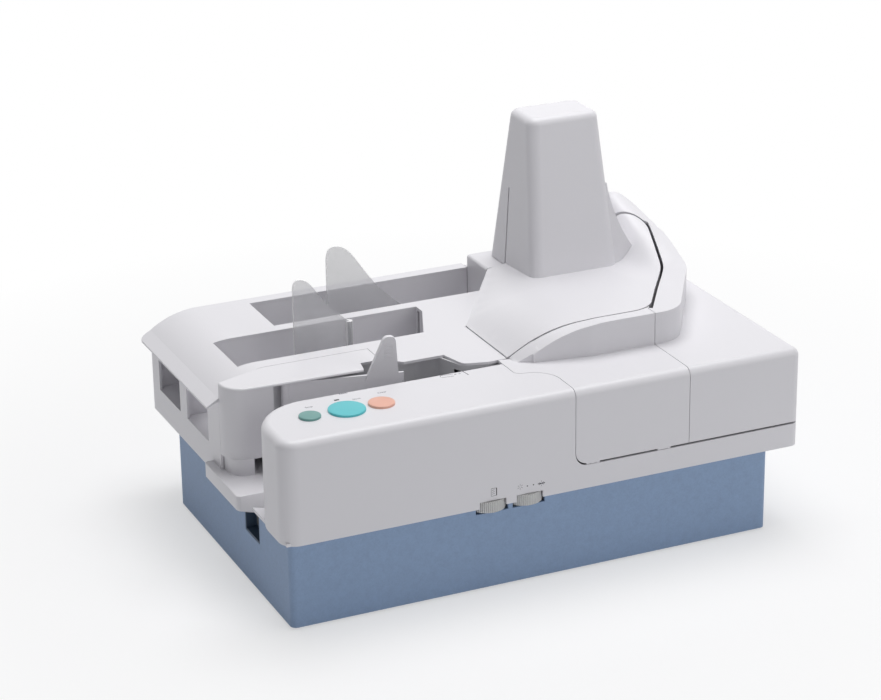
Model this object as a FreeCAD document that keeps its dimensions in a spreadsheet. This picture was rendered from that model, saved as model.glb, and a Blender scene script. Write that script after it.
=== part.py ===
"""Desktop cheque scanner with a U-shaped upright document track.

Lengths are in millimetres. While a piece is drawn, X runs along the housing from its left end,
Y runs from its front to its rear and Z is the height above the table. Every piece is then placed
so that the origin is under the middle of the whole machine.
"""
import FreeCAD, Part
import math
import os
import re
import Sketcher
from FreeCAD import Vector

SIZES = {
    # Whole machine
    "housing_length": 530.0,
    "housing_depth": 361.0,
    "lip_reach": 12.0,
    "cover_level": 184.5,
    "casing_wall": 2.5,
    "seam": 0.6,
    "edge_radius": 8.0,
    "face_gap": 0.3,
    "running_gap": 0.05,
    "overrun": 5.0,
    # Base tub and what stands in it
    "foot_height": 2.5,
    "foot_radius": 9.0,
    "foot_inset": 24.0,
    "base_left": 5.2,
    "base_front": 2.6,
    "base_right": 497.8,
    "base_rear": 307.5,
    "base_top": 84.3,
    "base_wall": 3.0,
    "base_corner": 6.0,
    "recess_front": 80.0,
    "recess_rear": 118.0,
    "recess_bottom": 53.0,
    "recess_top": 82.0,
    "recess_depth": 12.0,
    "rocker_level": 67.5,
    "rocker_hub": 2.0,
    "rocker_pivot_depth": 2.0,
    "rocker_dip": 1.4,
    "pan_wall": 1.6,
    "rocker_half_length": 8.6,
    "rocker_half_width": 6.0,
    "rocker_gap": 0.5,
    "rocker_proud": 2.5,
    "rocker_depth": 11.0,
    "switch_body_depth": 17.0,
    "inlet_middle": 70.0,
    "inlet_level": 40.0,
    "inlet_width": 27.0,
    "inlet_height": 20.0,
    "inlet_depth": 21.0,
    "inlet_flange": 3.5,
    "flange_thickness": 1.5,
    "inlet_wall": 2.2,
    "pin_width": 4.0,
    "pin_thickness": 2.0,
    "pin_spread": 7.0,
    "pin_length": 14.0,
    "connector_middle": 170.0,
    "connector_level": 40.0,
    "connector_width": 58.0,
    "connector_height": 12.0,
    "connector_depth": 12.0,
    "connector_wall": 1.0,
    "vent_width": 3.0,
    "vent_height": 40.0,
    "vent_pitch": 8.0,
    "vent_start": 250.0,
    "vent_bottom": 24.0,
    "fan_middle": 420.0,
    "fan_level": 34.0,
    "fan_size": 50.0,
    "fan_depth": 15.0,
    "fan_bore": 23.0,
    "fan_hub": 10.0,
    "fan_tip_gap": 1.0,
    "fan_strut": 4.0,
    "fan_pin": 1.5,
    "blade_thickness": 1.5,
    "supply_left": 300.0,
    "supply_front": 30.0,
    "supply_length": 160.0,
    "supply_depth": 95.0,
    "supply_height": 45.0,
    "board_left": 40.0,
    "board_front": 30.0,
    "board_length": 230.0,
    "board_depth": 230.0,
    "board_thickness": 1.6,
    "standoff_height": 6.0,
    "standoff_radius": 3.0,
    "standoff_inset": 6.0,
    "chip_height": 4.0,
    # Lower housing, chassis and floors
    "tray_floor": 3.0,
    "chassis_thickness": 2.0,
    "track_floor": 96.0,
    "pocket_floor": 112.0,
    "skirt_top": 107.6,
    "cover_bottom": 109.6,
    "shelf_reach": 9.0,
    "shelf_front": 102.0,
    "shelf_rear": 187.0,
    "shelf_chamfer": 16.0,
    "belt_window_left": 284.0,
    "belt_window_right": 490.0,
    "belt_window_front": 78.0,
    "belt_window_rear": 300.0,
    "panel_wrap": 8.0,
    "plate_left": 206.0,
    "plate_margin": 6.0,
    # Front panel
    "front_seam": 289.3,
    "side_seam": 409.4,
    "panel_back": 95.0,
    "panel_end_radius": 55.0,
    "panel_corner_radius": 16.0,
    "panel_seam_radius": 26.0,
    "tongue_left": 257.0,
    "tongue_front": 59.0,
    "tongue_inner_radius": 8.0,
    "notch_left_start": 191.5,
    "notch_right_start": 229.0,
    "notch_length": 27.0,
    "notch_top": 91.0,
    "wheel_radius": 18.0,
    "wheel_bottom": 79.5,
    "wheel_thickness": 11.0,
    "wheel_proud": 2.5,
    "wheel_pin": 2.0,
    "wheel_gap": 1.5,
    "bracket_thickness": 2.0,
    # Buttons
    "button_row": 50.0,
    "small_button_place": 47.0,
    "large_button_place": 83.0,
    "right_button_place": 117.0,
    "small_button_radius": 9.2,
    "large_button_radius": 16.4,
    "right_button_radius": 11.4,
    "button_proud": 2.2,
    "button_rounding": 1.0,
    "button_travel": 1.5,
    "button_gap": 0.4,
    "button_flange": 1.5,
    "button_flange_depth": 2.0,
    "plunger_radius": 2.0,
    "key_board_level": 166.0,
    "key_board_margin": 8.0,
    "key_switch_height": 3.0,
    "key_switch_half": 3.0,
    "boss_radius": 3.0,
    "lamp_place": 83.5,
    "lamp_row": 76.0,
    "lamp_length": 4.6,
    "lamp_width": 2.0,
    "lamp_proud": 0.3,
    # Hopper
    "hopper_seam": 181.0,
    "hopper_edge": 138.5,
    "hopper_wall": 152.0,
    "hopper_end": 45.5,
    "hopper_corner": 22.0,
    "post_foot": 112.5,
    "hopper_cover_right": 158.0,
    "hopper_notch_left": 135.0,
    "hopper_notch_right": 176.0,
    "hopper_notch_rear": 150.0,
    "notch_slant": 3.0,
    "hopper_flange": 5.5,
    "hopper_rounding": 2.0,
    "hopper_seam_left": 163.0,
    "throat_bend": 224.0,
    "throat_bend_row": 106.0,
    "throat_lead": 20.0,
    "throat_right": 217.0,
    "throat_edge": 134.5,
    "pusher_pivot_place": 60.0,
    "pusher_pivot_row": 146.5,
    "pusher_length": 113.0,
    "pusher_thickness": 2.5,
    "pusher_turn": 12.0,
    "pusher_hub": 4.0,
    "pusher_pin": 2.0,
    "pusher_level": 180.0,
    "fin_left": 76.0,
    "fin_tip_left": 95.0,
    "fin_right": 108.0,
    "fin_top": 217.0,
    "fin_rounding": 5.0,
    "fin_rib": 0.6,
    "fin_rib_pitch": 3.2,
    # Pockets
    "pocket_near_front": 197.0,
    "pocket_near_rear": 265.0,
    "pocket_far_front": 278.0,
    "pocket_far_rear": 347.0,
    "pocket_near_left": 32.0,
    "pocket_near_right": 246.0,
    "pocket_near_right_front": 224.0,
    "pocket_far_left": 100.0,
    "pocket_wall": 2.0,
    "window_top": 150.0,
    "window_margin": 7.0,
    "lip_drop": 6.5,
    "lip_radius": 86.0,
    "lip_bend": 50.0,
    "far_right_front": 322.0,
    "gate_mouth": 8.0,
    "paddle_shoulder_run": 15.0,
    "block_left": 340.0,
    "block_top": 198.0,
    "block_rear": 347.5,
    "paddle_thickness": 1.6,
    "near_paddle_left": 100.5,
    "near_paddle_right": 158.0,
    "near_paddle_row": 226.0,
    "near_paddle_top": 248.0,
    "far_paddle_left": 168.0,
    "far_paddle_right": 251.0,
    "far_paddle_row": 308.0,
    "far_paddle_top": 245.0,
    "paddle_hub": 3.6,
    "paddle_pin": 1.8,
    "paddle_foot": 1.0,
    "near_paddle_shoulder": 198.0,
    "far_paddle_shoulder": 170.0,
    # Document track
    "track_start": 205.0,
    "track_feed_row": 99.0,
    "hood_left": 267.0,
    "track_front_row": 84.0,
    "track_front_left": 342.0,
    "track_front_right": 412.0,
    "track_side": 482.0,
    "track_side_front": 190.0,
    "track_rear_side": 502.0,
    "track_rear_corner": 262.0,
    "track_rear_right": 470.0,
    "track_rear_row": 300.0,
    "entry_bend": 20.0,
    "front_bend": 40.0,
    "corner_bend": 35.0,
    "side_bend": 60.0,
    "rear_bend": 30.0,
    "track_gap": 3.0,
    "track_wall": 1.5,
    "track_top": 181.0,
    "slot_half": 0.85,
    "wide_slot_half": 2.1,
    "rear_slot_half": 1.1,
    # Rollers and drive
    "drive_radius": 12.0,
    "drive_core": 7.0,
    "drive_shaft": 4.0,
    "pinch_radius": 8.0,
    "pinch_bore": 2.5,
    "tyre_low": 112.0,
    "tyre_width": 15.0,
    "tyre_pitch": 42.0,
    "nip_gap": 0.2,
    "roller_window": 1.0,
    "roller_top": 175.0,
    "core_bottom": 98.0,
    "pinch_core": 5.0,
    "feed_core": 10.0,
    "bed_half": 3.5,
    "feed_motor_radius": 14.0,
    "feed_motor_height": 44.0,
    "pulley_radius": 10.0,
    "pulley_bottom": 66.0,
    "pulley_width": 8.0,
    "belt_thickness": 1.2,
    "belt_width": 6.0,
    "bush_radius": 7.0,
    "feed_radius": 17.0,
    "feed_place": 236.0,
    "retard_radius": 11.0,
    "motor_radius": 21.0,
    "motor_height": 52.0,
    "motor_place": 336.0,
    "motor_row": 178.0,
    "motor_shaft": 2.5,
    # Reading parts
    "scan_length": 26.0,
    "scan_depth": 14.0,
    "head_length": 14.0,
    "head_depth": 10.0,
    "gate_length": 24.0,
    "gate_pin": 1.5,
    "gate_place": 366.0,
    "lever_room": 6.0,
    "lever_thickness": 3.0,
    "lever_reach": 20.0,
    "solenoid_size": 16.0,
    "solenoid_gap": 8.0,
    "solenoid_clearance": 0.5,
    # Hood, tower and rim
    "hood_corner": 193.0,
    "ramp_end": 342.0,
    "rim_level": 216.5,
    "ramp_length": 83.0,
    "ramp_power": 2.2,
    "block_rounding": 3.0,
    "door_corner": 12.0,
    "rim_lead": 12.0,
    "rim_start_place": 273.0,
    "rim_start_row": 81.0,
    "rim_skew": 0.4,
    "rim_foot": 70.0,
    "rim_shoulder": 436.0,
    "rim_side": 503.0,
    "rim_side_row": 176.0,
    "rim_rear_side": 514.0,
    "rim_rear_corner": 240.0,
    "rim_rear": 336.0,
    "dish_start": 120.0,
    "dish_side": 455.0,
    "rise_start": 187.0,
    "rise_end": 316.0,
    "rise_side": 490.0,
    "rise_height": 40.0,
    "outer_fall_share": 0.6,
    "skirt_place": 297.0,
    "skirt_row": 160.0,
    "skirt_level": 197.0,
    "tower_middle": 409.0,
    "tower_foot": 205.0,
    "tower_foot_half": 48.0,
    "tower_top_half": 38.6,
    "tower_foot_front": 234.0,
    "tower_foot_rear": 339.0,
    "tower_top_front": 261.0,
    "tower_top_rear": 312.0,
    "tower_top": 361.0,
    "tower_corner": 11.0,
    "tower_crown": 8.0,
    "tower_slit_top": 281.0,
    "gusset_top": 287.0,
    "gusset_toe": 487.0,
    "gusset_front": 239.0,
    "gusset_rear": 280.0,
    "gusset_sag": 5.0,
    "cover_axis_row": 341.5,
    "cover_axis_level": 222.0,
    "knuckle_radius": 3.4,
    "knuckle_length": 12.0,
    "knuckle_pin": 1.6,
    "knuckle_left": 372.0,
    "knuckle_right": 446.0,
    "lug_length": 8.0,
    "door_axis_row": 2.0,
    "door_axis_level": 108.8,
    "door_knuckle": 1.7,
    "door_pin": 0.75,
    "door_knuckle_left": 305.0,
    "door_knuckle_right": 380.0,
    "door_knuckle_length": 6.0,
    "door_pin_reach": 4.0,
    # Fasteners
}

doc = FreeCAD.newDocument("ChequeScanner")
sheet = doc.addObject("Spreadsheet::Sheet", "Sizes")
for row, (alias, value) in enumerate(SIZES.items(), start=1):
    sheet.set(f"A{row}", alias)
    sheet.set(f"B{row}", str(value))
    sheet.setAlias(f"B{row}", alias)
doc.recompute()

ALIAS = re.compile(r"\b(" + "|".join(sorted(SIZES, key=len, reverse=True)) + r")\b")
SHIFT_X = "-(housing_length - lip_reach) / 2"
SHIFT_Y = "-(housing_depth - wheel_proud) / 2"
PLANES = {"top": "XY_Plane", "front": "XZ_Plane", "side": "YZ_Plane"}
parts = []


class Sheet:
    """The sheet's sizes as numbers, read by name."""

    def __getattr__(self, name):
        return float(sheet.get(name))


s = Sheet()


def bind(thing, **sizes):
    """Tie properties to sizes of the sheet; two underscores stand for a dot."""
    for path, text in sizes.items():
        thing.setExpression(path.replace("__", "."), ALIAS.sub(r"Sizes.\1", text))


def seat(thing):
    """Move a piece from the drawing corner to the machine's own origin."""
    bind(thing, Placement__Base__x=SHIFT_X, Placement__Base__y=SHIFT_Y)
    parts.append(thing)


def rect(left, low, right, high):
    """A rectangle by its two corners."""
    return "loop", [(left, low), (right, low), (right, high), (left, high)]


def loop(*corners):
    """A closed outline of straight sides."""
    return "loop", list(corners)


def circle(across, up, radius):
    """A circle by its centre and radius."""
    return "circle", (across, up, radius)


def fix(sketch, geometry, point, across, up):
    """Hold a sketch point at two bound distances from the sketch's origin."""
    first, second = sketch.addConstraint([
        Sketcher.Constraint("DistanceX", -1, 1, geometry, point, 1.0 + geometry),
        Sketcher.Constraint("DistanceY", -1, 1, geometry, point, 1.0 + geometry * geometry),
    ])
    sketch.setExpression(f"Constraints[{first}]", ALIAS.sub(r"Sizes.\1", across))
    sketch.setExpression(f"Constraints[{second}]", ALIAS.sub(r"Sizes.\1", up))


def draw(sketch, kind, shape):
    """Put one outline in a sketch."""
    base = sketch.GeometryCount
    if kind == "circle":
        across, up, radius = shape
        sketch.addGeometry(Part.Circle(Vector(1, 1, 0), Vector(0, 0, 1), 1.0))
        fix(sketch, base, 3, across, up)
        spot = sketch.addConstraint(Sketcher.Constraint("Radius", base, 1.0))
        sketch.setExpression(f"Constraints[{spot}]", ALIAS.sub(r"Sizes.\1", radius))
        return
    count = len(shape)
    ring = [Vector(math.cos(2 * math.pi * i / count), math.sin(2 * math.pi * i / count), 0)
            for i in range(count)]
    sketch.addGeometry([Part.LineSegment(ring[i], ring[(i + 1) % count]) for i in range(count)])
    sketch.addConstraint([Sketcher.Constraint("Coincident", base + i, 2, base + (i + 1) % count, 1)
                          for i in range(count)])
    for i, (across, up) in enumerate(shape):
        fix(sketch, base + i, 1, across, up)


def feature(body, kind, plane, shapes, start, end):
    """Pad or pocket outlines of one plane, from one level to another along that plane's axis."""
    origin = next(item for item in body.Origin.OriginFeatures if item.Role == PLANES[plane])
    sketch = body.newObject("Sketcher::SketchObject", "Outline")
    sketch.AttachmentSupport = [(origin, "")]
    sketch.MapMode = "FlatFace"
    facing_back = plane == "front"
    bind(sketch, AttachmentOffset__Base__z=f"-({start})" if facing_back else start)
    for kind_of_shape, shape in shapes:
        draw(sketch, kind_of_shape, shape)
    made = body.newObject(f"PartDesign::{kind}", kind)
    made.Profile = sketch
    made.Reversed = facing_back if kind == "Pad" else not facing_back
    bind(made, Length=f"({end}) - ({start})")
    sketch.Visibility = False
    return made


def body_of(label):
    """An empty body with its place."""
    body = doc.addObject("PartDesign::Body", label)
    body.Label = label
    body.AllowCompound = True
    seat(body)
    return body


def pad(body, plane, shapes, start, end):
    """Add material."""
    return feature(body, "Pad", plane, shapes, start, end)


def pocket(body, plane, shapes, start, end):
    """Take material away, and make sure that some went."""
    doc.recompute()
    before = body.Shape.Volume
    made = feature(body, "Pocket", plane, shapes, start, end)
    doc.recompute()
    if body.Shape.Volume > before - 0.01:
        raise RuntimeError(f"a pocket of {body.Label} cuts nothing")
    return made


def prism(label, plane, shapes, start, end):
    """A body that starts as one pad."""
    body = body_of(label)
    pad(body, plane, shapes, start, end)
    return body


def dress(body, kind, size, chosen):
    """Fillet or chamfer the edges that a test picks."""
    doc.recompute()
    tip = body.Tip
    names = [f"Edge{i}" for i, edge in enumerate(tip.Shape.Edges, start=1) if chosen(edge)]
    made = body.newObject(f"PartDesign::{kind}", kind)
    made.Base = (tip, names)
    if kind == "Fillet":
        bind(made, Radius=size)
    else:
        bind(made, Size=size)
    return made


def near(value, target):
    """Whether two lengths are the same."""
    return abs(value - target) < 0.01


def upright(edge, across, deep):
    """Whether an edge stands upright at a place in plan."""
    box = edge.BoundBox
    return (near(box.XMin, across) and near(box.XMax, across)
            and near(box.YMin, deep) and near(box.YMax, deep))


def at_level(edge, level):
    """Whether an edge lies at one height."""
    box = edge.BoundBox
    return near(box.ZMin, level) and near(box.ZMax, level)


def turned(label, profile, place, row, bottom="0"):
    """A round piece about an upright axis: pairs of radius and height, from the bottom up."""
    body = body_of(label)
    origin = next(item for item in body.Origin.OriginFeatures if item.Role == "XZ_Plane")
    sketch = body.newObject("Sketcher::SketchObject", "Profile")
    sketch.AttachmentSupport = [(origin, "")]
    sketch.MapMode = "FlatFace"
    bind(sketch, AttachmentOffset__Base__z=f"-({row})", AttachmentOffset__Base__x=place,
         AttachmentOffset__Base__y=bottom)
    draw(sketch, "loop", profile)
    made = body.newObject("PartDesign::Revolution", "Turned")
    made.Profile = sketch
    made.ReferenceAxis = (sketch, ["V_Axis"])
    made.Angle = 360.0
    return body


# Paths in plan, for the pieces that follow the track

def rounded(points, radii):
    """Edges of an open path, with each inner corner rounded by its radius."""
    edges = []
    start = points[0]
    for before, corner, after, radius in zip(points, points[1:], points[2:], radii):
        back = (before - corner).normalize()
        ahead = (after - corner).normalize()
        half = back.getAngle(ahead) / 2
        first = corner + back * (radius / math.tan(half))
        last = corner + ahead * (radius / math.tan(half))
        middle = corner + (back + ahead).normalize() * (radius / math.sin(half) - radius)
        edges.append(Part.LineSegment(start, first).toShape())
        edges.append(Part.Arc(first, middle, last).toShape())
        start = last
    edges.append(Part.LineSegment(start, points[-1]).toShape())
    return edges


def beside(points, radii, shift):
    """The path at a distance to the left of another, with its corner radii to suit."""
    normals = []
    for first, last in zip(points, points[1:]):
        along = (last - first).normalize()
        normals.append(Vector(-along.y, along.x, 0))
    moved = [points[0] + normals[0] * shift]
    fitted = []
    for corner, before, after, radius in zip(points[1:], normals, normals[1:], radii):
        moved.append(corner + (before + after) * (shift / (1 + before.dot(after))))
        left_turn = before.cross(after).z > 0
        fitted.append(radius - shift if left_turn else radius + shift)
    moved.append(points[-1] + normals[-1] * shift)
    return moved, fitted


def face_of(edges):
    """The flat face inside a ring of edges."""
    return Part.Face(Part.Wire(Part.__sortEdges__(edges)))


def ribbon(points, radii, right, left, low, high):
    """An upright wall along a path, between two distances to its left."""
    near_side = rounded(*beside(points, radii, right))
    far_side = rounded(*beside(points, radii, left))
    caps = [Part.LineSegment(near_side[0].Vertexes[0].Point, far_side[0].Vertexes[0].Point),
            Part.LineSegment(near_side[-1].Vertexes[-1].Point, far_side[-1].Vertexes[-1].Point)]
    wall = face_of(near_side + far_side + [cap.toShape() for cap in caps])
    wall.translate(Vector(0, 0, low))
    return wall.extrude(Vector(0, 0, high - low))


def ring_of(points, radii):
    """Edges of a closed path; a corner with no radius stays sharp."""
    edges = []
    count = len(points)
    starts = []
    ends = []
    for i, corner in enumerate(points):
        radius = radii[i]
        if radius <= 0:
            starts.append(corner)
            ends.append(corner)
            continue
        back = (points[i - 1] - corner).normalize()
        ahead = (points[(i + 1) % count] - corner).normalize()
        half = back.getAngle(ahead) / 2
        first = corner + back * (radius / math.tan(half))
        last = corner + ahead * (radius / math.tan(half))
        middle = corner + (back + ahead).normalize() * (radius / math.sin(half) - radius)
        edges.append(Part.Arc(first, middle, last).toShape())
        starts.append(first)
        ends.append(last)
    for last, first in zip(ends, starts[1:] + starts[:1]):
        if not last.isEqual(first, s.running_gap):
            edges.append(Part.LineSegment(last, first).toShape())
    return edges


def block(points, radii, low, high):
    """A solid that stands on a closed path."""
    base = face_of(ring_of(points, radii))
    base.translate(Vector(0, 0, low))
    return base.extrude(Vector(0, 0, high - low))


def box(left, front, low, right, rear, high):
    """A plain block by its two corners."""
    return Part.makeBox(right - left, rear - front, high - low, Vector(left, front, low))


def upright_rod(place, row, radius, low, high):
    """A round rod that stands upright."""
    return Part.makeCylinder(radius, high - low, Vector(place, row, low))


def shaped(label, shape):
    """A piece whose outline follows the track, from its finished shape."""
    piece = doc.addObject("Part::Feature", label)
    piece.Label = label
    piece.Shape = shape.removeSplitter()
    seat(piece)
    return piece


def track_points():
    """The middle line of the document track, from the hopper's throat to the pockets."""
    return [
        Vector(s.track_start, s.track_feed_row, 0),
        Vector(s.hood_left, s.track_feed_row + s.face_gap, 0),
        Vector(s.track_front_left, s.track_front_row, 0),
        Vector(s.track_front_right, s.track_front_row, 0),
        Vector(s.track_side, s.track_side_front, 0),
        Vector(s.track_rear_side, s.track_rear_corner, 0),
        Vector(s.track_rear_right, s.track_rear_row, 0),
        Vector(s.block_left, s.track_rear_row, 0),
    ]


TRACK_RADII = [s.entry_bend, s.front_bend, s.corner_bend, s.side_bend, s.rear_bend, s.rear_bend]


# The blue base and what stands in it

def across_rect(middle, level, half_across, half_up):
    """A rectangle round a middle point."""
    return rect(f"{middle} - ({half_across})", f"{level} - ({half_up})",
                f"{middle} + ({half_across})", f"{level} + ({half_up})")


def make_base():
    tub = prism("base_tub", "top", [rect("base_left", "base_front", "base_right", "base_rear")],
                "foot_height", "base_top")
    corners = [(x, y) for x in (s.base_left, s.base_right) for y in (s.base_front, s.base_rear)]
    dress(tub, "Fillet", "base_corner",
          lambda edge: any(upright(edge, x, y) for x, y in corners))
    pocket(tub, "top", [rect("base_left + base_wall", "base_front + base_wall",
                             "base_right - base_wall", "base_rear - base_wall")],
           "foot_height + base_wall", "base_top + overrun")
    pocket(tub, "side", [rect("recess_front", "recess_bottom", "recess_rear", "recess_top")],
           "base_left - overrun", "base_left + base_wall + face_gap")
    slots = [across_rect(f"vent_start + {i} * vent_pitch", "vent_bottom + vent_height / 2",
                         "vent_width / 2", "vent_height / 2") for i in range(8)]
    slots += [across_rect(f"fan_middle + ({i} - 2.5) * vent_pitch", "fan_level",
                          "vent_width / 2", "vent_height / 2") for i in range(6)]
    slots += [across_rect("inlet_middle", "inlet_level", "inlet_width / 2", "inlet_height / 2"),
              across_rect("connector_middle", "connector_level", "connector_width / 2",
                          "connector_height / 2")]
    pocket(tub, "front", slots, "base_rear - base_wall - face_gap", "base_rear + overrun")
    notches = [rect(f"{start} - 2 * wheel_gap", "wheel_bottom - wheel_gap",
                    f"{start} + notch_length + 2 * wheel_gap", "base_top + overrun")
               for start in ("notch_left_start", "notch_right_start")]
    pocket(tub, "front", notches, "base_front - overrun", "base_front + base_wall + face_gap")
    feet = [circle(x, y, "foot_radius")
            for x in ("base_left + foot_inset", "base_right - foot_inset")
            for y in ("base_front + foot_inset", "base_rear - foot_inset")]
    prism("rubber_feet", "top", feet, "0", "foot_height")


ROCKER_ROW = "(recess_front + recess_rear) / 2"
PAN_FLOOR = "base_left + recess_depth"


def make_switch():
    pan = prism("switch_recess", "side",
                [rect("recess_front + face_gap", "recess_bottom + face_gap",
                      "recess_rear - face_gap", "recess_top - face_gap")],
                "base_left + face_gap", PAN_FLOOR)
    pocket(pan, "side", [rect("recess_front + face_gap + pan_wall",
                              "recess_bottom + face_gap + pan_wall",
                              "recess_rear - face_gap - pan_wall",
                              "recess_top - face_gap - pan_wall")],
           "base_left - overrun", PAN_FLOOR + " - pan_wall")
    pad(pan, "side", [across_rect(ROCKER_ROW, "rocker_level", "rocker_half_length + 2 * pan_wall",
                                  "rocker_half_width + 2 * pan_wall")],
        PAN_FLOOR, PAN_FLOOR + " + switch_body_depth")
    pocket(pan, "side", [across_rect(ROCKER_ROW, "rocker_level",
                                     "rocker_half_length + 2 * rocker_gap",
                                     "rocker_half_width + rocker_gap")],
           PAN_FLOOR + " - pan_wall - overrun", PAN_FLOOR + " + rocker_depth")
    front = PAN_FLOOR + " - pan_wall - rocker_proud"
    back = PAN_FLOOR + " + rocker_pivot_depth"
    low = ROCKER_ROW + " - rocker_half_length"
    high = ROCKER_ROW + " + rocker_half_length"
    rocker = prism("power_rocker", "top",
                   [loop((front, low), (front + " + rocker_dip", ROCKER_ROW), (front, high),
                         (back, high), (back + " + rocker_half_width", ROCKER_ROW),
                         (back, low))],
                   "rocker_level - rocker_half_width", "rocker_level + rocker_half_width")
    pad(rocker, "top", [circle(back, ROCKER_ROW, "rocker_hub")],
        "rocker_level - rocker_half_width - pan_wall + face_gap",
        "rocker_level + rocker_half_width + pan_wall - face_gap")
    pocket(pan, "top", [circle(back, ROCKER_ROW, "rocker_hub + running_gap")],
           "rocker_level - rocker_half_width - pan_wall",
           "rocker_level + rocker_half_width + pan_wall")


def make_sockets():
    inlet = prism("power_inlet", "front",
                  [across_rect("inlet_middle", "inlet_level", "inlet_width / 2 + inlet_flange",
                               "inlet_height / 2 + inlet_flange")],
                  "base_rear", "base_rear + flange_thickness")
    pad(inlet, "front", [across_rect("inlet_middle", "inlet_level", "inlet_width / 2 - face_gap",
                                     "inlet_height / 2 - face_gap")],
        "base_rear - inlet_depth", "base_rear")
    pocket(inlet, "front", [across_rect("inlet_middle", "inlet_level",
                                        "inlet_width / 2 - inlet_wall",
                                        "inlet_height / 2 - inlet_wall")],
           "base_rear - inlet_depth + inlet_wall", "base_rear + overrun")
    pins = [across_rect(f"inlet_middle + ({i}) * pin_spread", f"inlet_level + ({lift}) * pin_width",
                        "pin_thickness / 2", "pin_width / 2")
            for i, lift in ((-1, -0.5), (0, 0.5), (1, -0.5))]
    pad(inlet, "front", pins, "base_rear - inlet_depth",
        "base_rear - inlet_depth + inlet_wall + pin_length")
    link = prism("data_connector", "front",
                 [across_rect("connector_middle", "connector_level",
                              "connector_width / 2 + inlet_flange",
                              "connector_height / 2 + inlet_flange")],
                 "base_rear", "base_rear + flange_thickness")
    pad(link, "front", [across_rect("connector_middle", "connector_level",
                                    "connector_width / 2 - face_gap",
                                    "connector_height / 2 - face_gap")],
        "base_rear - connector_depth", "base_rear")
    pocket(link, "front", [across_rect("connector_middle", "connector_level",
                                       "connector_width / 2 - 2 * connector_wall",
                                       "connector_height / 2 - 2 * connector_wall")],
           "base_rear - connector_depth + connector_wall", "base_rear + overrun")
    pad(link, "front", [across_rect("connector_middle", "connector_level",
                                    "connector_width / 2 - 5 * connector_wall",
                                    "connector_wall")],
        "base_rear - connector_depth", "base_rear - connector_wall")


def make_fan():
    rear = "base_rear - base_wall"
    front = rear + " - fan_depth"
    frame = prism("fan_frame", "front",
                  [across_rect("fan_middle", "fan_level", "fan_size / 2", "fan_size / 2")],
                  front, rear)
    pocket(frame, "front", [circle("fan_middle", "fan_level", "fan_bore")],
           front + " - overrun", rear + " + overrun")
    pad(frame, "front", [across_rect("fan_middle", "fan_level", "fan_size / 2 - fan_tip_gap",
                                     "fan_strut / 2")], front, front + " + flange_thickness")
    pad(frame, "front", [circle("fan_middle", "fan_level", "fan_hub")],
        front, front + " + flange_thickness")
    pad(frame, "front", [circle("fan_middle", "fan_level", "fan_pin")],
        front, front + " + fan_depth - fan_tip_gap")
    middle = Vector(s.fan_middle, s.base_rear - s.base_wall - s.fan_depth, s.fan_level)
    along = Vector(0, 1, 0)
    inside = s.flange_thickness + s.fan_tip_gap
    length = s.fan_depth - inside - s.fan_tip_gap
    start = middle + along * inside
    rotor = Part.makeCylinder(s.fan_hub, length, start, along)
    for i in range(5):
        blade = Part.makeBox(s.fan_bore - s.fan_tip_gap - s.fan_hub / 2, s.blade_thickness,
                             length * math.sqrt(2) - s.blade_thickness)
        blade.translate(Vector(s.fan_hub / 2, -s.blade_thickness / 2,
                               -(length * math.sqrt(2) - s.blade_thickness) / 2))
        blade.rotate(Vector(), Vector(1, 0, 0), 45)
        blade.rotate(Vector(), Vector(0, 0, 1), 360 * i / 5)
        blade.rotate(Vector(), Vector(1, 0, 0), -90)
        blade.translate(start + along * (length / 2))
        rotor = rotor.fuse(blade)
    rotor = rotor.common(Part.makeCylinder(s.fan_bore - s.fan_tip_gap, length, start, along))
    rotor = rotor.cut(Part.makeCylinder(s.fan_pin + s.running_gap, length + 2 * s.overrun,
                                        start - along * s.overrun, along))
    shaped("fan_rotor", rotor)


def make_electrics():
    floor = "foot_height + base_wall"
    supply = prism("power_supply", "top",
                   [rect("supply_left", "supply_front", "supply_left + supply_length",
                         "supply_front + supply_depth")], floor, floor + " + supply_height")
    slots = [across_rect(f"supply_left + supply_length / 2 + ({i} - 4.5) * vent_pitch",
                         floor + " + supply_height / 2", "vent_width / 2", "supply_height / 4")
             for i in range(10)]
    pocket(supply, "front", slots, "supply_front - overrun", "supply_front + flange_thickness")
    posts = [circle(x, y, "standoff_radius")
             for x in ("board_left + standoff_inset", "board_left + board_length - standoff_inset")
             for y in ("board_front + standoff_inset", "board_front + board_depth - standoff_inset")]
    prism("board_standoffs", "top", posts, floor, floor + " + standoff_height")
    level = floor + " + standoff_height"
    board = prism("main_board", "top",
                  [rect("board_left", "board_front", "board_left + board_length",
                        "board_front + board_depth")], level, level + " + board_thickness")
    chips = [rect(f"board_left + {x} * board_length", f"board_front + {y} * board_depth",
                  f"board_left + {x + w} * board_length", f"board_front + {y + d} * board_depth")
             for x, y, w, d in ((0.1, 0.1, 0.12, 0.12), (0.35, 0.15, 0.14, 0.14), (0.1, 0.5, 0.1, 0.2),
                                (0.35, 0.5, 0.2, 0.12), (0.7, 0.2, 0.08, 0.3), (0.65, 0.65, 0.2, 0.15))]
    pad(board, "top", chips, level, level + " + board_thickness + chip_height")


# The housing's floor and its pieces above the base

UNDERSIDE = s.cover_level - s.casing_wall
TRAY_LEVEL = s.base_top + s.tray_floor
CHASSIS_LEVEL = TRAY_LEVEL + s.chassis_thickness

TRAY_TOP = "base_top + tray_floor"
CHASSIS_TOP = "base_top + tray_floor + chassis_thickness"


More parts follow.
